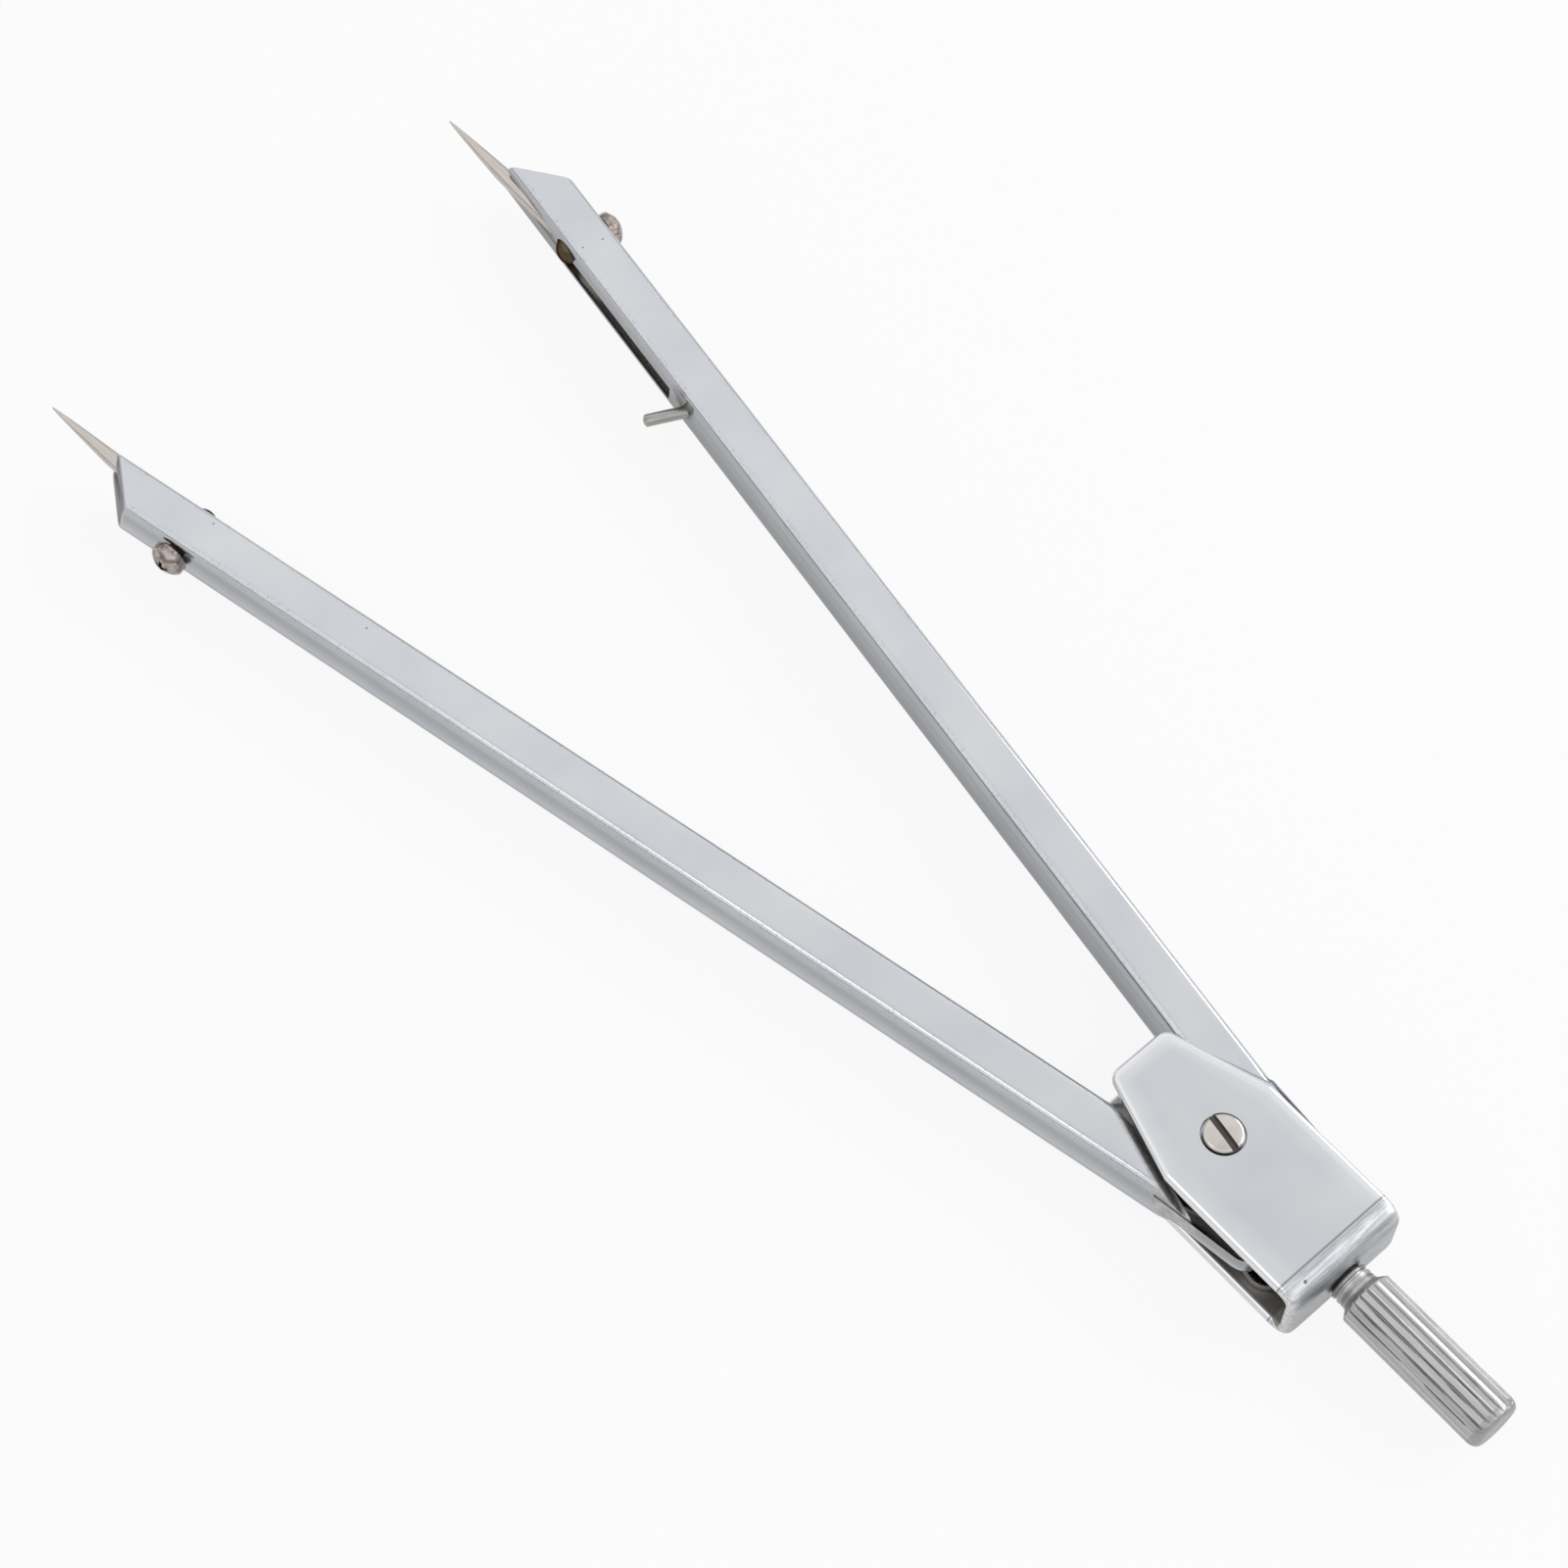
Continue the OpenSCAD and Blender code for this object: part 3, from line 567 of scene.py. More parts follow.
# Steel bar turned and straight knurled: darker grey than the strip, with short streaks along it
# and oily brown-grey dirt kept in the grooves; the same colour is painted as shade in the gap under the neck
# and, lighter, over the end
handleLook = {"name": "turnedKnurledSteel", "perMm": (2.2, 2.2, 0.3), "detail": 4.0,  # 0.4 mm x 3 mm streaks
              "dark": "#AAA9A8", "pale": "#CFCECE", "gloss": (0.3, 0.46), "dirtAndShadeTone": "#3B3837",
              "grit": 6.0, "bump": (0.18, 0.03)}  # 0.15 mm grit
handleFinish = grainedMetal(handleLook)


def buildHandle():
    gripR, neck, neckLong, long = handle["r"], handle["neck"], handle["neckLong"], handle["long"]
    grip, last = neckLong + handle["coneLong"], long - handle["endLong"]
    seat, gap = yoke["sheet"] + handle["gap"], handle["gap"]  # the shank's end is peened inside the bend
    peen, peenEnd, peenEdge = handle["peenR"], -seat - handle["peenLong"], handle["peenEdge"]
    thin, undercut, edge = neck - handle["undercutDeep"], handle["undercut"], handle["neckEdge"]
    profile = [(core, peenEnd), (peen - peenEdge, peenEnd), (peen, -seat - peenEdge), (peen, -seat),
               (handle["shank"], -seat), (handle["shank"], gap), (thin, gap), (thin, undercut - 0.01),
               (neck - edge, undercut), (neck, undercut + edge)]
    start, end = handle["grooveAt"], handle["grooveAt"] + handle["grooveWide"]
    floor, slope = neck - handle["grooveDeep"], handle["grooveSlope"]
    profile += [(neck, start), (floor, start + slope), (floor, end - slope), (neck, end)]
    ringFloor = neck - handle["ringDeep"]
    profile += list(zip((neck, ringFloor, ringFloor, neck), handle["ring"]))
    profile += [(neck, neckLong - handle["neckEase"]), (neck + handle["flare"], neckLong)]
    for k in range(1, handle["coneRows"] + 1):
        share = k / handle["coneRows"]
        profile.append((neck + (gripR - handle["gripEdge"] - neck) * share,
                        neckLong + handle["coneLong"] * share))
    full = grip + handle["gripEase"]
    profile += [(gripR, full + (last - full) * k / handle["rows"]) for k in range(handle["rows"] + 1)]
    inPower, upPower = handle["endFull"]
    for k in range(1, handle["endRows"] + 1):  # rounded end
        turn = math.pi / 2 * k / handle["endRows"]
        profile.append((handle["endR"] + (gripR - handle["endR"]) * math.cos(turn) ** inPower,
                        last + handle["endLong"] * math.sin(turn) ** upPower))
    profile += [(handle["endR"] * 0.9, long - handle["endSag"]), (handle["endR"] * 0.5, long), (core, long)]

    steps = handle["flutes"] * handle["samples"]
    rings, grooves = [], []
    for r, place in profile:
        ring = []
        for i in range(steps):
            turn = 2 * math.pi * i / steps
            count = (math.degrees(turn) - handle["fluteTurn"]) * handle["flutes"] / 360
            flute = round(count)
            away = abs(count - flute) * 2  # 0 in a groove's middle, 1 on a ridge's crest
            spot = Vector((flute % handle["flutes"] * 5.3, place * 0.35, 0))  # no two flutes alike
            uneven = 1 + handle["uneven"] * noise.noise(spot)
            notch = max(0.0, 1 - away / (handle["fluteWide"] * uneven))
            beside = (away - handle["fluteWide"] - handle["lipAway"]) / handle["lipWide"]
            lip = handle["lip"] * math.exp(-beside ** 2)
            deep = handle["fluteDeep"] * uneven * min(1, notch * handle["floorFull"])
            floor = gripR - handle["lip"] + lip - deep
            cut = min(r, floor) if place > neckLong else r
            ring.append((cut * math.cos(turn), cut * math.sin(turn), place))
            fluted = r > floor + 0.02 and place > neckLong
            stained = handle["fluteStain"] * min(1, notch * 1.2) if fluted else 0
            # painted shade in full in the gap under the neck, lighter painted shade on the end, dirt in the
            # flutes
            grooves.append(1 if place < undercut else handle["endShade"] if place > last + 0.05 else stained)
        rings.append(ring)
    body = loft(rings)
    mark = body.data.attributes.new("groove", "FLOAT", "POINT")
    mark.data.foreach_set("value", grooves)
    onBend = atPivot @ shift(0, -yoke["back"], pose["middleZ"]) @ spin(90, "X")
    placed(body, "knurledHandle", onBend, "yoke", handleFinish, "handle", 50)


buildHandle()
print("handle turned")


# pivot screw and washers

pivot = {"shank": 1.25, "start": 0.02, "chamfer": 0.15, "head": 1.7, "under": 7.3, "top": 8.2, "round": 0.28,
         "crown": 0.06, "crownAt": ((1.2, 0.55), (0.7, 0.15)),
         "slot": 0.62, "slotTurn": -9, "slotDeep": 0.45, "slotReach": 3}
washer = {"r": 3.0, "hole": 1.3, "thick": 0.6, "edge": 0.12, "core": 0.5,
          "low": {"back": 2.25, "front": 4.95}}
# Machine screw with polished nickel: warm pale grey, smooth, with painted black-brown shade round its rim and
# in its slot
pivotLook = {"name": "polishedNickelScrew", "mottle": {"Scale": 0.9, "Detail": 3.0},  # 1 mm clouds
             "spots": (0, 1), "plate": "#C6BFB8", "spot": "#E0DCD8", "paintedShade": "#2B2724",
             "paintedShadeFrom": pivot["top"] - 0.25, "paintedShadeTo": pivot["top"] - 0.42, "paintedShadeShare": 0.88,
             "paintedShadeDulls": True, "gloss": (0.12, 0.4), "bump": (0.3, 0.06)}
# Drawn steel wire, and spring washers stamped from the same steel: silver grey with fine draw lines
wireLook = {"name": "drawnSteelWire", "perMm": (8, 8, 0.8), "detail": 3.0,  # 0.12 mm x 1.2 mm lines
            "dark": "#8C8B89", "pale": "#C9C7C3", "gloss": (0.2, 0.35), "bump": (0.3, 0.02)}
pivotFinish = nickelScrew(pivotLook)
wireFinish = grainedMetal(wireLook)


def buildPivot():
    top, head, under = pivot["top"], pivot["head"], pivot["under"]
    r, start, chamfer = pivot["shank"], pivot["start"], pivot["chamfer"]
    profile = [(core, start), (r - chamfer, start), (r, start + chamfer), (r, under), (head, under)]
    profile += arc((head - pivot["round"], top - pivot["crown"] - pivot["round"]), pivot["round"], 0, 80, 6)
    profile += [(at, top - pivot["crown"] * share) for at, share in pivot["crownAt"]] + [(core, top)]
    screw = lathe(profile, 96)
    w, reach = pivot["slot"] / 2, pivot["slotReach"]
    cutter = prism([(-w, -reach), (w, -reach), (w, reach), (-w, reach)], top - pivot["slotDeep"], top + past)
    combine(screw, [moved(cutter, spin(pivot["slotTurn"], "Z"))], "DIFFERENCE")
    placed(screw, "pivotScrew", atPivot, "yoke", pivotFinish, "pivot_screw")


def buildWasher(side):
    r, edge, low = washer["r"], washer["edge"], washer["low"][side]
    high = low + washer["thick"]
    disc = lathe([(washer["core"], low), (r - edge, low), (r, low + edge), (r, high - edge), (r - edge, high),
                  (washer["core"], high)], 72)
    combine(disc, [rod(washer["hole"], low - past, high + past)], "DIFFERENCE")
    placed(disc, side + "Washer", atPivot, "yoke", wireFinish, side + "_washer")


buildPivot()
buildWasher("back")
buildWasher("front")
print("pivot screw and washers set")


# legs: folded tubes with a closed slanted tip, slotted for the needle

leg = {"inner": 2.4, "outer": 6.6, "low": 1.3, "high": 6.5, "sheet": 0.9, "fold": 0.65, "dish": 0.15,
       "dishEnd": 1.5, "long": 114.8, "pastTip": 4, "tipCut": 4.4, "tipLean": 13,
       "stepInner": 9.2, "stepOuter": 1.5, "stepRun": 1.3, "hollowOn": 0.9,
       "webRound": 0.4, "wallRound": 0.3, "backRound": 0.2, "seamWide": 0.09, "seamDeep": 0.12,
       "wave": 0.02, "waveAcross": 0.15, "waveAlong": 0.09, "waveSeed": {"left": 3.1, "right": 7.7},
       "slotFrom": 87.2, "slotLow": 2.23, "slotHigh": 3.75, "slotIn": 0.1,
       "mouthFrom": 106.6, "mouthLow": 3.02,  # past the eye the slot is no deeper than the needle
       "channel": 0.825, "clampHole": 0.9, "eyeHole": 1.4, "pivotHole": 1.3, "pivotHoleTop": 9,
       "pinHole": 0.595, "pinHoleFrom": -1.6, "pinHoleTo": 3,
       "rings": 60, "calmRings": 6, "wallRows": 8, "webRows": 4, "foldRows": 8, "pressRows": 12, "tipRows": 6}
needle = {"r": 0.725, "back": -4.4, "chamfer": 0.12, "point": 19.0, "taper": 8.0, "tip": 0.05, "bulge": 0.8,
          "end": 0.01, "bodyRows": 6, "taperRows": 24}
tongue = {"thick": 1.98, "squash": 0.98, "reach": 4.6, "tail": 8.1, "tailOuter": 7.3, "shoulder": 2.5,
          "lap": 0.45, "corner": 4, "tailR": 2, "edge": 0.3, "dullFrom": 1}
fork = {"r": 5.4, "reach": 3.7, "tail": 11.4, "sheet": 0.88, "edge": 0.2, "lap": 0.45, "below": 0.01,
        "dullFrom": -0.2, "dullTo": -0.1, "roundRows": 24}

tubeWear = {"paintedShade": "#5B554F", "low": leg["low"], "high": leg["high"],
            "middle": (leg["inner"] + leg["outer"]) / 2, "wallFrom": 1.8, "wallTo": 1.98,
            "foldFrom": 7.95, "foldTo": 8.1,
            "end": {"normal": (1.0476, 1, 0.3343), "from": 119.367, "to": 119.457},
            "walls": {1: ((0, 0.7), (0.08, 0.62), (0.22, 0.95), (0.36, 0.8), (0.5, 0.57), (0.62, 0.56),
                          (0.76, 0.68), (0.9, 0.85), (1, 1)),
                      -1: ((0, 0.5), (0.1, 0.5), (0.3, 0.58), (0.45, 0.54), (0.6, 0.44), (0.76, 0.5),
                           (0.9, 0.75), (1, 1))}}  # share of the tone that is kept, up each wall; the rest is painted shade
legWear = {**tubeWear, "step": {"normal": (1.8333, 1, 0), "at": 12.2, "full": 1.5, "none": 1.9},
           "specks": [((3.57, 85.49, 6.5), 0.11)]}
pinWear = {**tubeWear, "paintedShade": "#C2BCB4", "pinPatch": {"at": (2.4, 84.8, 4.5), "full": 1.8, "none": 2.8},
           "specks": [((5.27, 102.84, 6.5), 0.11)]}
legFinish = platedSheet("brightNickelPlatedTube", legWear)
pinLegFinish = platedSheet("brightNickelPlatedTubeWithPatch", pinWear)


def stepAt(v):
    run = (leg["stepOuter"] - leg["stepInner"]) / (leg["outer"] - leg["inner"])
    return leg["stepInner"] + (v - leg["inner"]) * run


def tipAt(v, z, behind=0):  # the end wall is slanted, and its foot stands out past the web
    wide = leg["outer"] - leg["inner"]
    slant = math.hypot(leg["tipCut"], wide) / wide
    lean = math.radians(leg["tipLean"])
    stand = (leg["high"] - z) * math.tan(lean) - behind / math.cos(lean)
    return leg["long"] - (v - leg["inner"]) * leg["tipCut"] / wide + stand * slant


def legSection():  # (v, z, outward normal), counterclockwise from the bottom of the outer wall
    halfW, halfD, r = (leg["outer"] - leg["inner"]) / 2, (leg["high"] - leg["low"]) / 2, leg["fold"]
    flatW, flatD = halfW - r, halfD - r
    chord = 2 * (halfD - leg["dishEnd"] * r)
    dishR = (chord * chord / 4 + leg["dish"] ** 2) / (2 * leg["dish"])
    wall = []
    for k in range(2 * leg["wallRows"] + 1):
        z = flatD * (k / leg["wallRows"] - 1)
        depth = max(0, leg["dish"] - dishR + math.sqrt(dishR * dishR - z * z))
        wall.append((halfW - depth, z, 1, 0))
    web = [(flatW * (1 - k / leg["webRows"]), halfD, 0, 1) for k in range(1, 2 * leg["webRows"])]
    back = [(-flatW * (1 - k / 3), -halfD, 0, -1) for k in (1, 2)]
    seam = [(-leg["seamWide"], -halfD, 0, -1), (0, leg["seamDeep"] - halfD, 0, -1),
            (leg["seamWide"], -halfD, 0, -1)]
    back += seam + [(-v, z, a, b) for v, z, a, b in reversed(back)]

    def fold(centreV, centreZ, start):
        points = arc((centreV, centreZ), r, start, start + 90, leg["foldRows"])[1:-1]
        return [(v, z, (v - centreV) / r, (z - centreZ) / r) for v, z in points]

    section = wall + fold(flatW, flatD, 0) + [(flatW, halfD, 0, 1)] + web + [(-flatW, halfD, 0, 1)]
    section += fold(-flatW, flatD, 90) + [(-v, -z, -1, 0) for v, z, a, b in wall]
    section += fold(-flatW, -flatD, 180) + [(-flatW, -halfD, 0, -1)] + back
    section += [(flatW, -halfD, 0, -1)] + fold(flatW, -flatD, 270)
    centreV, centreZ = (leg["inner"] + leg["outer"]) / 2, (leg["low"] + leg["high"]) / 2
    return [(v + centreV, z + centreZ, a, b) for v, z, a, b in section]


def legTube(stepped, seed):
    section, middle, rings = legSection(), pose["middleZ"], []
    if stepped:  # the head is pressed flat towards the tongue
        wide = leg["outer"] - leg["inner"]
        slantSin = wide / math.hypot(wide, leg["stepInner"] - leg["stepOuter"])
        squash = tongue["thick"] / (leg["high"] - leg["low"]) * tongue["squash"]
        for k in range(leg["pressRows"] + 2, 0, -1):
            gap = leg["stepRun"] * k / leg["pressRows"]
            share = min(1, gap / leg["stepRun"])
            share = share * share * (3 - 2 * share)
            keep = 1 - (1 - squash) * share
            rings.append([(v, stepAt(v) - gap / slantSin, middle + (z - middle) * keep)
                          for v, z, a, b in section])
    for k in range(leg["rings"] + 1):
        share = k / leg["rings"] * (1 - leg["webRound"] / leg["long"] * 2)
        calm = min(1, k / leg["calmRings"], (leg["rings"] - k) / leg["calmRings"])
        ring = []
        for v, z, a, b in section:
            u = stepAt(v) + (tipAt(v, z) - stepAt(v)) * share
            spot = Vector((v * leg["waveAcross"] + seed, u * leg["waveAlong"], z * leg["waveAcross"]))
            push = leg["wave"] * calm * noise.noise(spot)
            ring.append((v + a * push, u, z + b * push))
        rings.append(ring)
    for k in range(leg["tipRows"] + 1):  # the rounded corner into the end wall
        turn = math.pi / 2 * k / leg["tipRows"]
        pull = 1 - math.cos(turn)
        ring = []
        for v, z, a, b in section:
            r = leg["webRound"] if b > 0.3 else leg["backRound"] if b < -0.3 else leg["wallRound"]
            side = v - a * leg["wallRound"] * pull
            height = z - b * (leg["webRound"] if b > 0 else leg["backRound"]) * pull
            ring.append((side, tipAt(side, height) - r * (1 - math.sin(turn)), height))
        rings.append(ring)
    return loft(rings)


def legCutters(stepped):
    inner, outer, sheet = leg["inner"] + leg["sheet"], leg["outer"] - leg["sheet"], leg["sheet"]
    headOn = leg["hollowOn"] if stepped else -past
    hollow = loft([[(inner, stepAt(inner) + headOn, z), (outer, stepAt(outer) + headOn, z),
                    (outer, tipAt(outer, z, sheet), z), (inner, tipAt(inner, z, sheet), z)]
                   for z in (leg["low"] + sheet, leg["high"] - sheet)])
    out, into, lap = leg["inner"] - past, inner + leg["slotIn"], leg["mouthFrom"] - leg["slotIn"]
    slot, mouth = [prism([(out, start), (into, start), (into, end), (out, end)], low, leg["slotHigh"])
                   for start, end, low in ((leg["slotFrom"], leg["mouthFrom"], leg["slotLow"]),
                                           (lap, leg["long"] + leg["pastTip"], leg["mouthLow"]))]
    channel = moved(rod(leg["channel"], needle["back"], needle["point"]), onNeedle)
    clampHole = moved(rod(leg["clampHole"], -past, sheet + past), onClamp)
    wide = leg["outer"] - leg["inner"]
    eyeHole = moved(rod(leg["eyeHole"], wide - sheet - past, wide + past), onClamp)
    pivotHole = rod(leg["pivotHole"], -past, leg["pivotHoleTop"])
    return [hollow, slot, mouth, channel, clampHole, eyeHole, pivotHole]


def hollowBox(start):
    skin = leg["sheet"] - margin
    return ((leg["inner"] + skin, start, leg["low"] + skin),
            (leg["outer"] - skin, leg["long"] + leg["pastTip"], leg["high"] - skin))


def buildLeftLeg():
    head = roundedOutline([((leg["inner"], leg["stepInner"] + tongue["lap"]), 0),
                           ((-tongue["reach"], tongue["shoulder"]), tongue["tailR"]),
                           ((-tongue["reach"], -tongue["tail"]), tongue["corner"]),
                           ((tongue["tailOuter"], -tongue["tail"]), tongue["tailR"]),
                           ((leg["outer"], leg["stepOuter"] + tongue["lap"]), 0)])
    half = tongue["thick"] / 2
    flat = plate(head, pose["middleZ"] - half, pose["middleZ"] + half, tongue["edge"])
    body = legTube(True, leg["waveSeed"]["left"])
    combine(body, [flat], "UNION")
    combine(body, legCutters(True), "DIFFERENCE")
    placed(body, "leftLeg", atLeftLeg, "left_leg", legFinish, "left_leg",
           inside=[hollowBox(leg["stepInner"] + tongue["dullFrom"])])


def buildRightLeg():
    start = Vector((leg["inner"], leg["stepInner"] + fork["lap"]))
    touch = math.degrees(math.atan2(start.y, start.x) + math.acos(fork["r"] / start.length))
    leave = 180 + math.degrees(math.acos(fork["reach"] / fork["r"]))
    tail = roundedOutline([((-fork["reach"], 0), 0), ((-fork["reach"], -fork["tail"]), tongue["tailR"]),
                           ((fork["reach"], -fork["tail"]), tongue["tailR"]),
                           ((tongue["tailOuter"], -tongue["tail"]), tongue["tailR"]),
                           ((leg["outer"], leg["stepOuter"] + fork["lap"]), 0)])
    outline = [tuple(start)] + arc((0, 0), fork["r"], touch, leave, fork["roundRows"]) + tail[1:]
    low, high = leg["low"] + fork["below"], leg["high"] - fork["below"]
    flanges = [plate(outline, low, low + fork["sheet"], fork["edge"]),
               plate(outline, high - fork["sheet"], high, fork["edge"])]
    body = legTube(False, leg["waveSeed"]["right"])
    combine(body, flanges, "UNION")
    pinHole = moved(rod(leg["pinHole"], leg["pinHoleFrom"], leg["pinHoleTo"]), onPin)
    combine(body, legCutters(False) + [pinHole], "DIFFERENCE")
    low, high = hollowBox(leg["stepInner"] + fork["dullFrom"])
    forkGap = ((-fork["r"] - past, -fork["tail"] - past, low[2]),
               (high[0], leg["stepInner"] + fork["dullTo"], high[2]))
    placed(body, "rightLeg", atRightLeg, "right_leg", pinLegFinish, "right_leg",
           inside=[(low, high), forkGap])


buildLeftLeg()
buildRightLeg()
print("legs folded")


# points: needle, eye stud and clamp screw on each leg, stop pin on the right one

eye = {"r": 1.3, "start": 1.2, "end": {"left": 5.15, "right": 4.8}, "core": 0.3, "chamfer": 0.15, "dome": 1.5,
       "hole": 0.775, "holeReach": 4, "boreGap": 0.02, "boreDeep": 2.96}
clamp = {"r": 0.8, "end": 2.115, "chamfer": 0.15, "head": 1.64, "high": 1.68, "dome": 2.1, "domeIn": 0.06,
         "rim": 0.08, "under": -0.12, "waistFrom": 0.16, "waistTo": 0.1, "waistIn": 0.2,
         "crossWide": 0.36, "crossLong": 1.4, "crossDeep": 0.45}
stopPin = {"r": 0.575, "start": -1.6, "end": 3.75, "dome": 0.8}
# Hardened wire with a ground point: warm pale grey, fine grinding lines along the taper
needleLook = {"name": "groundNeedleSteel", "perMm": (7, 7, 0.4), "detail": 3.0,  # 0.15 mm x 2.5 mm lines
              "dark": "#B2AAA4", "pale": "#DFD9D4", "gloss": (0.16, 0.28), "bump": (0.1, 0.02)}
# Turned brass stud gone brown: dull, with tarnish in clouds and glossier where it is rubbed
eyeLook = {"name": "tarnishedTurnedBrass", "perMm": (1.4, 1.4, 1.4), "detail": 4.0,  # 0.7 mm clouds
           "dark": "#3F372F", "pale": "#776953", "edge": "#5E5344", "gloss": (0.45, 0.22),
           "bump": (0.3, 0.03)}
# Small machine screws with thin, worn nickel: warm and slightly pink, mottled, brown where the plate is thin,
# with painted black shade under the head
clampLook = {"name": "wornNickelScrew", "mottle": {"Scale": 1.3, "Detail": 4.0, "Roughness": 0.6},  # 0.8 mm
             "spots": (0.42, 0.62), "plate": "#BDB4AF", "spot": "#7F706A", "paintedShade": "#1E1B19", "paintedShadeFrom": -0.32,
             "paintedShadeTo": -0.25, "paintedShadeShare": 0.92, "paintedShadeDulls": False, "gloss": (0.14, 0.32), "bump": (0.5, 0.05)}
needleFinish = grainedMetal(needleLook)
eyeFinish = grainedMetal(eyeLook)
clampFinish = nickelScrew(clampLook)


def buildNeedle(side, atLeg):
    r, back, chamfer, point = needle["r"], needle["back"], needle["chamfer"], needle["point"]
    taper = point - needle["taper"]
    profile = [(core, back), (r - chamfer, back), (r, back + chamfer)]
    profile += [(r, back + (taper - back) * k / needle["bodyRows"]) for k in range(1, needle["bodyRows"] + 1)]
    for k in range(1, needle["taperRows"] + 1):  # ground slightly full, down to a small blunt point
        share = k / needle["taperRows"]
        profile.append((needle["tip"] + (r - needle["tip"]) * (1 - share) ** needle["bulge"],
                        taper + (point - taper) * share))
    wire = lathe(profile + [(needle["end"], point)], 40)
    placed(wire, side + "Needle", atLeg @ onNeedle, side + "_needle", needleFinish,
           side + "_needle")


def buildEye(side, atLeg):
    r, start, chamfer = eye["r"], eye["start"], eye["chamfer"]
    stud = lathe([(eye["core"], start), (r - chamfer, start), (r, start + chamfer)]
                 + domed(r, eye["dome"], eye["end"][side]), 64)
    across = moved(rod(eye["hole"], -eye["holeReach"], eye["holeReach"]), onClamp.inverted() @ onNeedle)
    combine(stud, [across, rod(clamp["r"] + eye["boreGap"], 0, eye["boreDeep"])], "DIFFERENCE")
    placed(stud, side + "Eye", atLeg @ onClamp, side + "_leg", eyeFinish, side + "_eye")


def buildClamp(side, atLeg):
    r, head, end, under = clamp["r"], clamp["head"], clamp["end"], clamp["under"]
    top, waist = under - clamp["high"], head - clamp["waistIn"]
    profile = [(at, -z) for at, z in reversed(domed(head - clamp["domeIn"], clamp["dome"], -top))]
    profile += [(head, profile[-1][1] + clamp["rim"]), (head, under - clamp["waistFrom"]),
                (waist, under - clamp["waistTo"]), (waist, under), (r, under),
                (r, end - clamp["chamfer"]), (r - clamp["chamfer"], end), (core, end)]
    screw = lathe(profile, 72)
    w, arm = clamp["crossWide"] / 2, clamp["crossLong"] / 2
    cross = [(w, w), (w, arm), (-w, arm), (-w, w), (-arm, w), (-arm, -w),
             (-w, -w), (-w, -arm), (w, -arm), (w, -w), (arm, -w), (arm, w)]
    combine(screw, [prism(cross, top - past, top + clamp["crossDeep"])], "DIFFERENCE")
    placed(screw, side + "ClampScrew", atLeg @ onClamp, side + "_clamp_screw", clampFinish,
           side + "_clamp_screw")


def buildStopPin():
    profile = [(core, stopPin["start"]), (stopPin["r"], stopPin["start"])]
    profile += domed(stopPin["r"], stopPin["dome"], stopPin["end"])
    wire = lathe(profile, 40)
    placed(wire, "stopPin", atRightLeg @ onPin, "right_leg", wireFinish, "stop_pin")


for side, atLeg in (("left", atLeftLeg), ("right", atRightLeg)):
    buildNeedle(side, atLeg)
    buildEye(side, atLeg)
    buildClamp(side, atLeg)
buildStopPin()
print("points and stop pin fitted")


# white table and soft studio light

studio = {"floor": "#FAFAFA", "floorHalf": 6.0, "floorLift": 0.88, "floorGloss": 0.55, "floorDrop": 0.02,
          "sky": 0.6, "aim": (0, 0.05, 0),
          "boxes": {"longSoftBox": {"at": (0.87, -0.25, 0.5), "wide": 1.2, "high": 0.5, "power": 4.5},
                    "topSoftBox": {"at": (-0.47, 0.17, 0.86), "wide": 0.34, "high": 0.34, "power": 0.26},
                    "frontSoftBox": {"at": (0.25, -0.5, 0.83), "wide": 0.36, "high": 0.36, "power": 0.22}},
          "walls": ((0, 0.35), (8, 0.5), (18, 1.0), (28, 1.0), (38, 1.0), (50, 0.96), (58, 1.0), (66, 0.92),
                    (70, 0.87), (90, 0.8))}  # brightness at an elevation in degrees


def buildTable():
    size, low = studio["floorHalf"], -studio["floorDrop"] * mm  # just under the yoke's back face
    mesh = bpy.data.meshes.new("whiteTable")
    mesh.from_pydata([(-size, -size, low), (size, -size, low), (size, size, low), (-size, size, low)], [],
                     [(0, 1, 2, 3)])
    table = bpy.data.objects.new("whiteTable", mesh)
    scene.collection.objects.link(table)
    # Matt white paper: white to the eye and in the metal, with the soft shadow kept
    mat = bpy.data.materials.new("mattWhitePaper")
    mat.use_nodes = True
    tree = mat.node_tree
    tree.nodes.clear()
    paths = addNode(tree, "LightPath")
    seen = addNode(tree, "Math", {"operation": "MAXIMUM"},
                   {0: paths.outputs["Is Camera Ray"], 1: paths.outputs["Is Transmission Ray"]})
    mirrored = addNode(tree, "Math", {"operation": "MULTIPLY", 1: studio["floorGloss"]},
                       {0: paths.outputs["Is Glossy Ray"]})
    shown = addNode(tree, "Math", {"operation": "MAXIMUM"}, {0: seen, 1: mirrored})
    share = addNode(tree, "Math", {"operation": "MULTIPLY", 1: studio["floorLift"]}, {0: shown})
    paper = addNode(tree, "BsdfDiffuse", {"Color": linear(studio["floor"])})
    white = addNode(tree, "Emission", {"Color": linear("#FFFFFF"), "Strength": 1.0})
    mix = addNode(tree, "MixShader", None, {0: share, 1: paper, 2: white})
    addNode(tree, "OutputMaterial", None, {"Surface": mix})
    mesh.materials.append(mat)


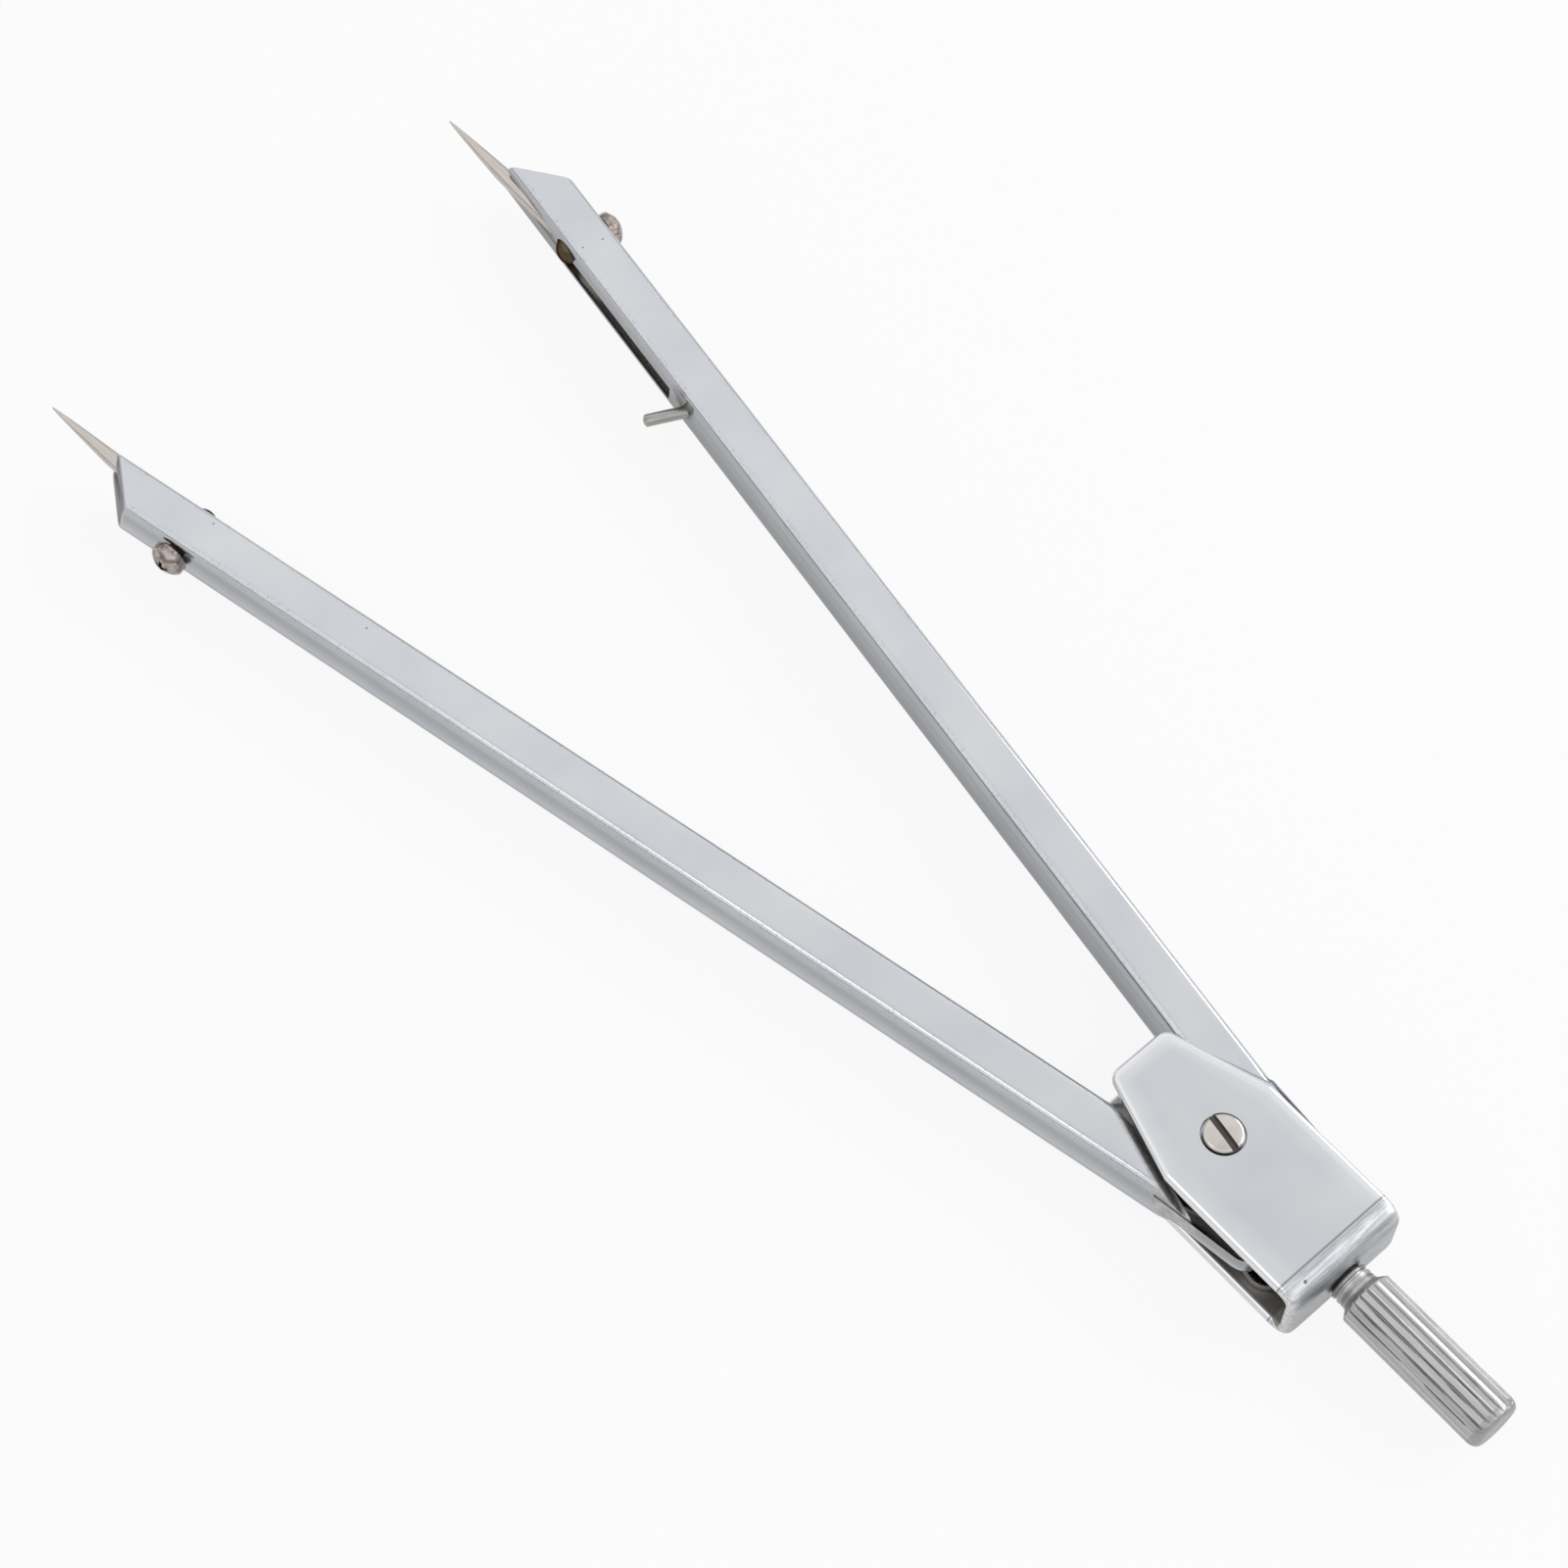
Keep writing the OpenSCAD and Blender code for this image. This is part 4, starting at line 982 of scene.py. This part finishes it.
def buildRoom():  # even for soft light, but its walls show light and dark by elevation in the metal
    world = bpy.data.worlds.new("softWhiteRoom")
    scene.world = world
    world.use_nodes = True
    tree = world.node_tree
    tree.nodes.clear()
    paths = addNode(tree, "LightPath")
    way = addNode(tree, "TexCoord")
    split = addNode(tree, "SeparateXYZ", None, {"Vector": way.outputs["Generated"]})
    walls = addNode(tree, "ValToRGB", None, {"Fac": split.outputs["Z"]})
    stops = walls.color_ramp.elements
    stops.remove(stops[1])
    for k, (elevation, brightness) in enumerate(studio["walls"]):
        stop = stops[0] if k == 0 else stops.new(math.sin(math.radians(elevation)))
        stop.color = (brightness, brightness, brightness, 1)
    room = addNode(tree, "Math", {"operation": "MAXIMUM"}, {0: walls, 1: paths.outputs["Is Camera Ray"]})
    seen = paths.outputs["Is Camera Ray"]
    for ray in ("Is Glossy Ray", "Is Transmission Ray"):
        seen = addNode(tree, "Math", {"operation": "MAXIMUM"}, {0: seen, 1: paths.outputs[ray]}).outputs[0]
    level = addNode(tree, "Mix", {"data_type": "FLOAT", 2: studio["sky"]}, {0: seen, 3: room})
    light = addNode(tree, "Background", {"Color": linear("#FFFFFF")}, {"Strength": level})
    addNode(tree, "OutputWorld", None, {"Surface": light})


def buildLamps():
    for name, soft in studio["boxes"].items():
        lamp = bpy.data.lights.new(name, "AREA")
        lamp.shape = "RECTANGLE"
        lamp.size = soft["wide"]
        lamp.size_y = soft["high"]
        lamp.energy = soft["power"]
        box = bpy.data.objects.new(name, lamp)
        box.location = soft["at"]
        box.rotation_euler = (Vector(soft["at"]) - Vector(studio["aim"])).to_track_quat("Z", "Y").to_euler()
        scene.collection.objects.link(box)


shot = {"azimuth": -41.745, "elevation": 61.547, "roll": 0.233, "lens": 86.28, "sensor": 36, "clip": 0.01,
        "target": (-2.39, 56.34, 0), "distance": 323.9}


def buildCamera():
    turn, rise = math.radians(shot["azimuth"]), math.radians(shot["elevation"])
    back = Vector((math.sin(turn) * math.cos(rise), -math.cos(turn) * math.cos(rise), math.sin(rise)))
    roll = Quaternion((0, 0, 1), math.radians(shot["roll"]))
    data = bpy.data.cameras.new("photoCamera")
    data.lens = shot["lens"]
    data.sensor_width = shot["sensor"]
    data.clip_start = shot["clip"]
    camera = bpy.data.objects.new("photoCamera", data)
    camera.location = (Vector(shot["target"]) + back * shot["distance"]) * mm
    camera.rotation_euler = (back.to_track_quat("Z", "Y") @ roll).to_euler()
    scene.collection.objects.link(camera)
    scene.camera = camera


buildTable()
buildRoom()
buildLamps()
buildCamera()
scene.view_settings.view_transform = "Standard"
print("studio and camera ready")
